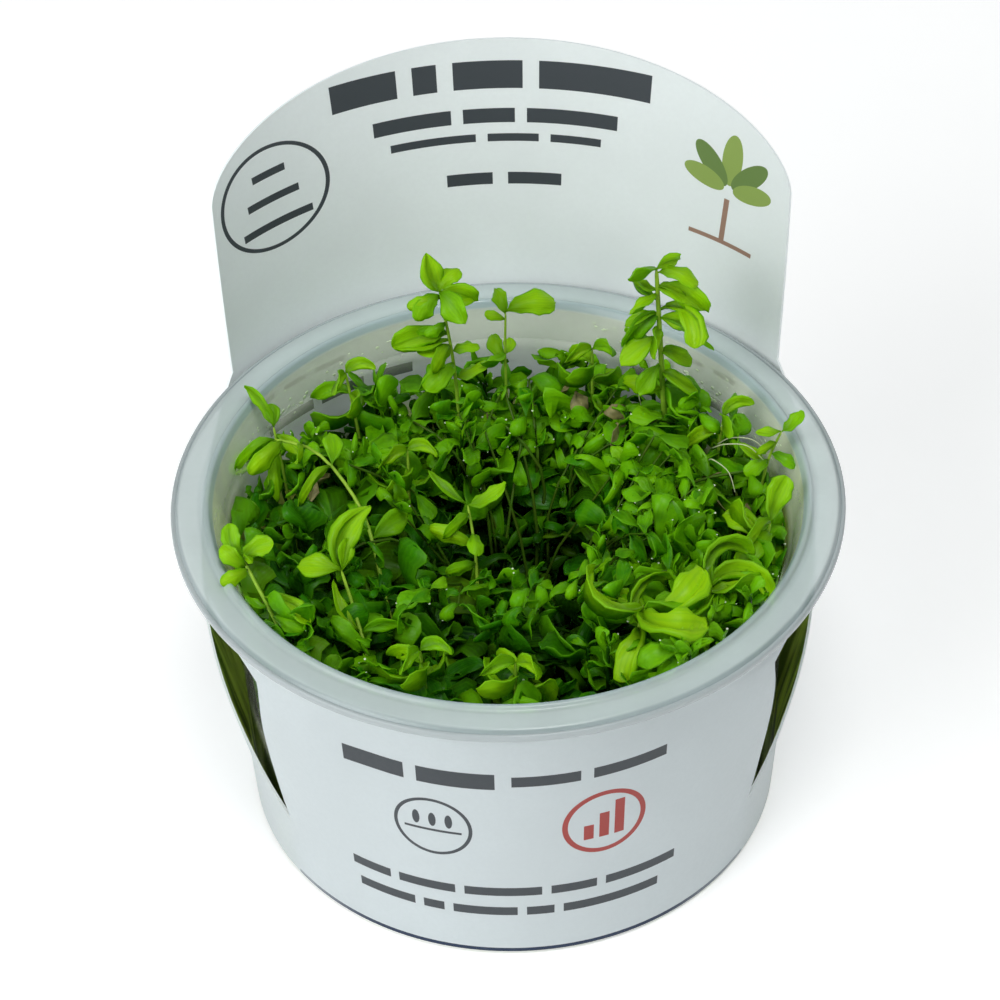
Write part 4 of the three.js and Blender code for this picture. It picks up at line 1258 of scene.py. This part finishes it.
def printed_inside(sleeve):
    """The inner face, whose shield shows above the rim, with plain bars and a plain leafy sign; low down and
    beside the slits it is painted in streaky greens, painted green light and shade from the plants
    """
    card = Print("printed_card_back", sleeve.inner_colour, 0.0)
    ink = solid(sleeve.ink)
    # Painted green light and shade from the plants, low down and beside the slits.
    streaks = card.streaks(card.spot, (1.0, 0.14, 1.0), 0.22)
    low = card.band(card.y, 33.0, 40.0, 1.0, 0.0)
    plant_light_beside_slit = card.times(card.band(card.from_middle, 43.0, 54.0), card.band(card.y, 50.0, 57.0, 1.0, 0.0))
    painted_plant_light = card.mix(card.band(streaks, 0.4, 0.62), *PLANT_LIGHT_GREENS)
    card.paint(card.math("MAXIMUM", low, plant_light_beside_slit), painted_plant_light)
    card.bars(
        ink, (91.4, 4.6, (-21, -12.5), (-10.5, -7.5), (-5.5, 3), (5, 19)),
        (84.6, 2.4, (-16, -6), (-4.5, 2), (3.5, 15)), (80.9, 1.3, (-14, -3), (-1.5, 5), (6.5, 13)),
        (74, 2.0, (-7, -1), (1, 8)),
    )
    for turn, size, leaf_ink in (
        (90, 8.5, LEAF_INK), (52, 7.5, LEAF_INK_DARK), (128, 7.5, LEAF_INK_DARK), (18, 6.2, LEAF_INK),
        (162, 6.2, LEAF_INK),
    ):
        reach = 0.62 * size
        across, up = reach * cos(radians(turn)), reach * sin(radians(turn))
        card.oval(31 + across, 79 + up, size, 3.0, turn, leaf_ink)
    card.bars(EARTH_INK, (74.2, 7.0, (30.6, 31.4)), (70.4, 0.7, (26, 36)))
    for row, width in enumerate((5.0, 8.0, 11.0)):
        card.bars(ink, (84 - 4.2 * row, 1.2, (-31 - 0.5 * width, -31 + 0.5 * width)))
    card.ring(-31, 80, 8.2, 0.6, ink)
    card.bars(
        ink, (48.4, 0.8, (-40, -37), (-35, -31), (-29, -24), (29, 32), (34, 38), (45, 50)),
        (43.2, 1.7, (-39, -30), (-28.5, -21), (-19.5, -13), (21, 27), (28.5, 37)),
    )
    return card.done()


class PEARLWEED_OT_withered_leaves(bpy.types.Operator):
    """Tucks the few withered leaves into the thicket"""

    bl_idname = "pearlweed.withered_leaves"
    bl_label = "Withered Leaves"

    outline = (0.14, 0.30, 0.44, 0.36, 0.30, 0.12)
    # Each leaf's place in millimetres, its angle from the back and its length.
    places = (
        (17, 22, 51, 200, 6), (15, 25, 50.5, 150, 5), (19, 24, 50, 250, 5.5), (11, 29, 51.5, 170, 5),
        (10, 31, 51, 220, 4.5), (-30, 12, 50, 140, 6), (-27, 14, 49, 200, 5), (-3, 29, 49.5, 180, 4.5),
        (33, 10, 52, 230, 5), (31, 6, 50, 200, 5), (36, 4, 50, 180, 4.5),
    )

    def execute(self, context):
        shape = LeafShape(self.outline, curl=110, twist=90, fold=0.5, ruffle=0.06)
        heap = Foliage()
        for number, (x, y, z, angle, length) in enumerate(self.places):
            chance = np.random.RandomState(number + 900)
            heap.leaf(
                shape, np.array([x, y, z]) * MM, angle, chance.uniform(-20, 40), length * MM,
                0.42 * length * MM, roll=chance.uniform(-60, 60), hook=chance.uniform(-120, 120),
            )
        heap.grow("withered_leaves", [dry_leaf_finish()], "leaves")
        return {"FINISHED"}


class PEARLWEED_OT_root_hairs(bpy.types.Operator):
    """Lays the few white root hairs over the leaves at the right"""

    bl_idname = "pearlweed.root_hairs"
    bl_label = "Root Hairs"

    hair_radius = 0.11 * MM
    routes = (
        [(31, 12, 54), (33, 10, 56.5), (36, 9, 57), (39, 7, 55)],
        [(32, 14, 53), (34, 12, 56), (37, 11, 56.4), (40, 9, 54)],
        [(30, 10, 53), (31, 7, 56), (33, 5, 55.5), (34, 3, 53)],
        [(22, 24, 60), (21, 25, 57), (20.5, 25, 54), (21, 25, 51)],
    )

    def execute(self, context):
        tube = StemShape(6, 14)
        tangle = Foliage()
        for route in self.routes:
            tangle.stem(tube, np.array(route) * MM, self.hair_radius, taper=0.6)
        tangle.grow("root_hairs", [root_finish()], "stems")
        return {"FINISHED"}


class PEARLWEED_OT_condensation(bpy.types.Operator):
    """Sets small beads of water on the inside of the wall above the leaves"""

    bl_idname = "pearlweed.condensation"
    bl_label = "Condensation"

    count = 150
    lowest, highest = 50.5, 55.5

    def execute(self, context):
        cup = context.scene.pearlweed_cup
        bead = bead_shape()
        beads = Foliage()
        for number in range(self.count):
            chance = np.random.RandomState(number + 1500)
            side = 1 if number % 2 else -1
            angle = side * chance.uniform(18, 75)
            height = chance.uniform(self.lowest, self.highest) * MM
            radius = wall_radius(cup, height) + 0.35 * MM + 0.3 * (height - self.lowest * MM)
            size = chance.uniform(0.25, 0.75) * MM
            base = compass(angle) * (radius - 0.1 * MM) + (0, 0, height)
            beads.leaf(bead, base, angle + 90, 0, size, size, roll=90)
        beads.grow("condensation", [droplet_finish()], "gel")
        return {"FINISHED"}


class PEARLWEED_OT_stage(bpy.types.Operator):
    """Sets the pale floor, the soft lights and the camera"""

    bl_idname = "pearlweed.stage"
    bl_label = "Stage"

    # Each lamp's place and size in metres, and its share of the main softbox's power.
    lamps = {
        "key_softbox": ((-0.62, -0.52, 0.55), 0.7, 1.0),
        "fill_softbox": ((0.6, -0.35, 0.6), 0.6, 0.03),
        "back_softbox": ((0.3, 0.75, 0.5), 0.6, 0.15),
        "top_softbox": ((0.1, -0.3, 0.95), 0.4, 0.7),
    }
    lit_height = 0.04
    sky_colour = (0.94, 1.0, 1.0, 1)
    sky_strength = 0.24
    sensor = 36
    lens_shift = (-0.0078, -0.0084)

    def execute(self, context):
        stage = context.scene.pearlweed_stage
        deselect()
        bpy.ops.mesh.primitive_plane_add(size=6, location=(0, 0, 0))
        floor = bpy.context.active_object
        floor.name = "floor"
        floor.data.materials.append(floor_finish())
        for name, (place, size, share) in self.lamps.items():
            self.lamp(name, place, size, share * stage.key_power)
        self.sky(context.scene)
        self.camera(context.scene, stage)
        context.scene.view_settings.view_transform = "Standard"
        return {"FINISHED"}

    def lamp(self, name, place, size, power):
        light = bpy.data.lights.new(name, "AREA")
        light.shape = "DISK"
        light.size = size
        light.energy = power
        lamp = bpy.data.objects.new(name, light)
        bpy.context.collection.objects.link(lamp)
        lamp.location = place
        aim = Vector((0, 0, self.lit_height)) - Vector(place)
        lamp.rotation_euler = aim.to_track_quat("-Z", "Y").to_euler()

    def sky(self, scene):
        scene.world = scene.world or bpy.data.worlds.new("sky")
        scene.world.use_nodes = True
        background = scene.world.node_tree.nodes["Background"]
        background.inputs[0].default_value = self.sky_colour
        background.inputs[1].default_value = self.sky_strength

    def camera(self, scene, stage):
        lens = bpy.data.cameras.new("camera")
        lens.lens = stage.lens
        lens.sensor_width = self.sensor
        lens.shift_x, lens.shift_y = self.lens_shift
        camera = bpy.data.objects.new("camera", lens)
        bpy.context.collection.objects.link(camera)
        up, level = sin(stage.elevation), cos(stage.elevation)
        back = Vector((0, -level, up))
        right, above = Vector((1, 0, 0)), Vector((0, up, level))
        lean, straight = sin(stage.roll), cos(stage.roll)
        across, upward = straight * right - lean * above, lean * right + straight * above
        turn = Matrix((across, upward, back)).transposed().to_4x4()
        camera.matrix_world = Matrix.Translation(Vector((0, 0, stage.aim)) + stage.distance * back) @ turn
        scene.camera = camera


PIECES = (
    PEARLWEED_OT_cup,
    PEARLWEED_OT_label_sleeve,
    PEARLWEED_OT_nutrient_gel,
    PEARLWEED_OT_tufts,
    PEARLWEED_OT_single_stems,
    PEARLWEED_OT_withered_leaves,
    PEARLWEED_OT_root_hairs,
    PEARLWEED_OT_condensation,
    PEARLWEED_OT_stage,
)


class PEARLWEED_PT_panel(bpy.types.Panel):
    """Lists the pieces and their settings"""

    bl_idname = "PEARLWEED_PT_panel"
    bl_label = "Pearlweed Cup"
    bl_space_type = "VIEW_3D"
    bl_region_type = "UI"
    bl_category = "Pearlweed"

    def draw(self, context):
        for settings in SETTINGS:
            group = getattr(context.scene, settings)
            box = self.layout.box()
            for name in type(group).__annotations__:
                box.prop(group, name)
        for piece in PIECES:
            self.layout.operator(piece.bl_idname)


SETTINGS = {
    "pearlweed_cup": CupSettings,
    "pearlweed_sleeve": SleeveSettings,
    "pearlweed_plant": PlantSettings,
    "pearlweed_stage": StageSettings,
}


def register():
    for name, settings in SETTINGS.items():
        bpy.utils.register_class(settings)
        setattr(bpy.types.Scene, name, PointerProperty(type=settings))
    for piece in (*PIECES, PEARLWEED_PT_panel):
        bpy.utils.register_class(piece)


def unregister():
    for piece in (*PIECES, PEARLWEED_PT_panel):
        bpy.utils.unregister_class(piece)
    for name, settings in SETTINGS.items():
        delattr(bpy.types.Scene, name)
        bpy.utils.unregister_class(settings)


def main():
    register()
    for piece in PIECES:
        getattr(bpy.ops.pearlweed, piece.bl_idname.split(".")[1])()


if __name__ == "__main__":
    main()
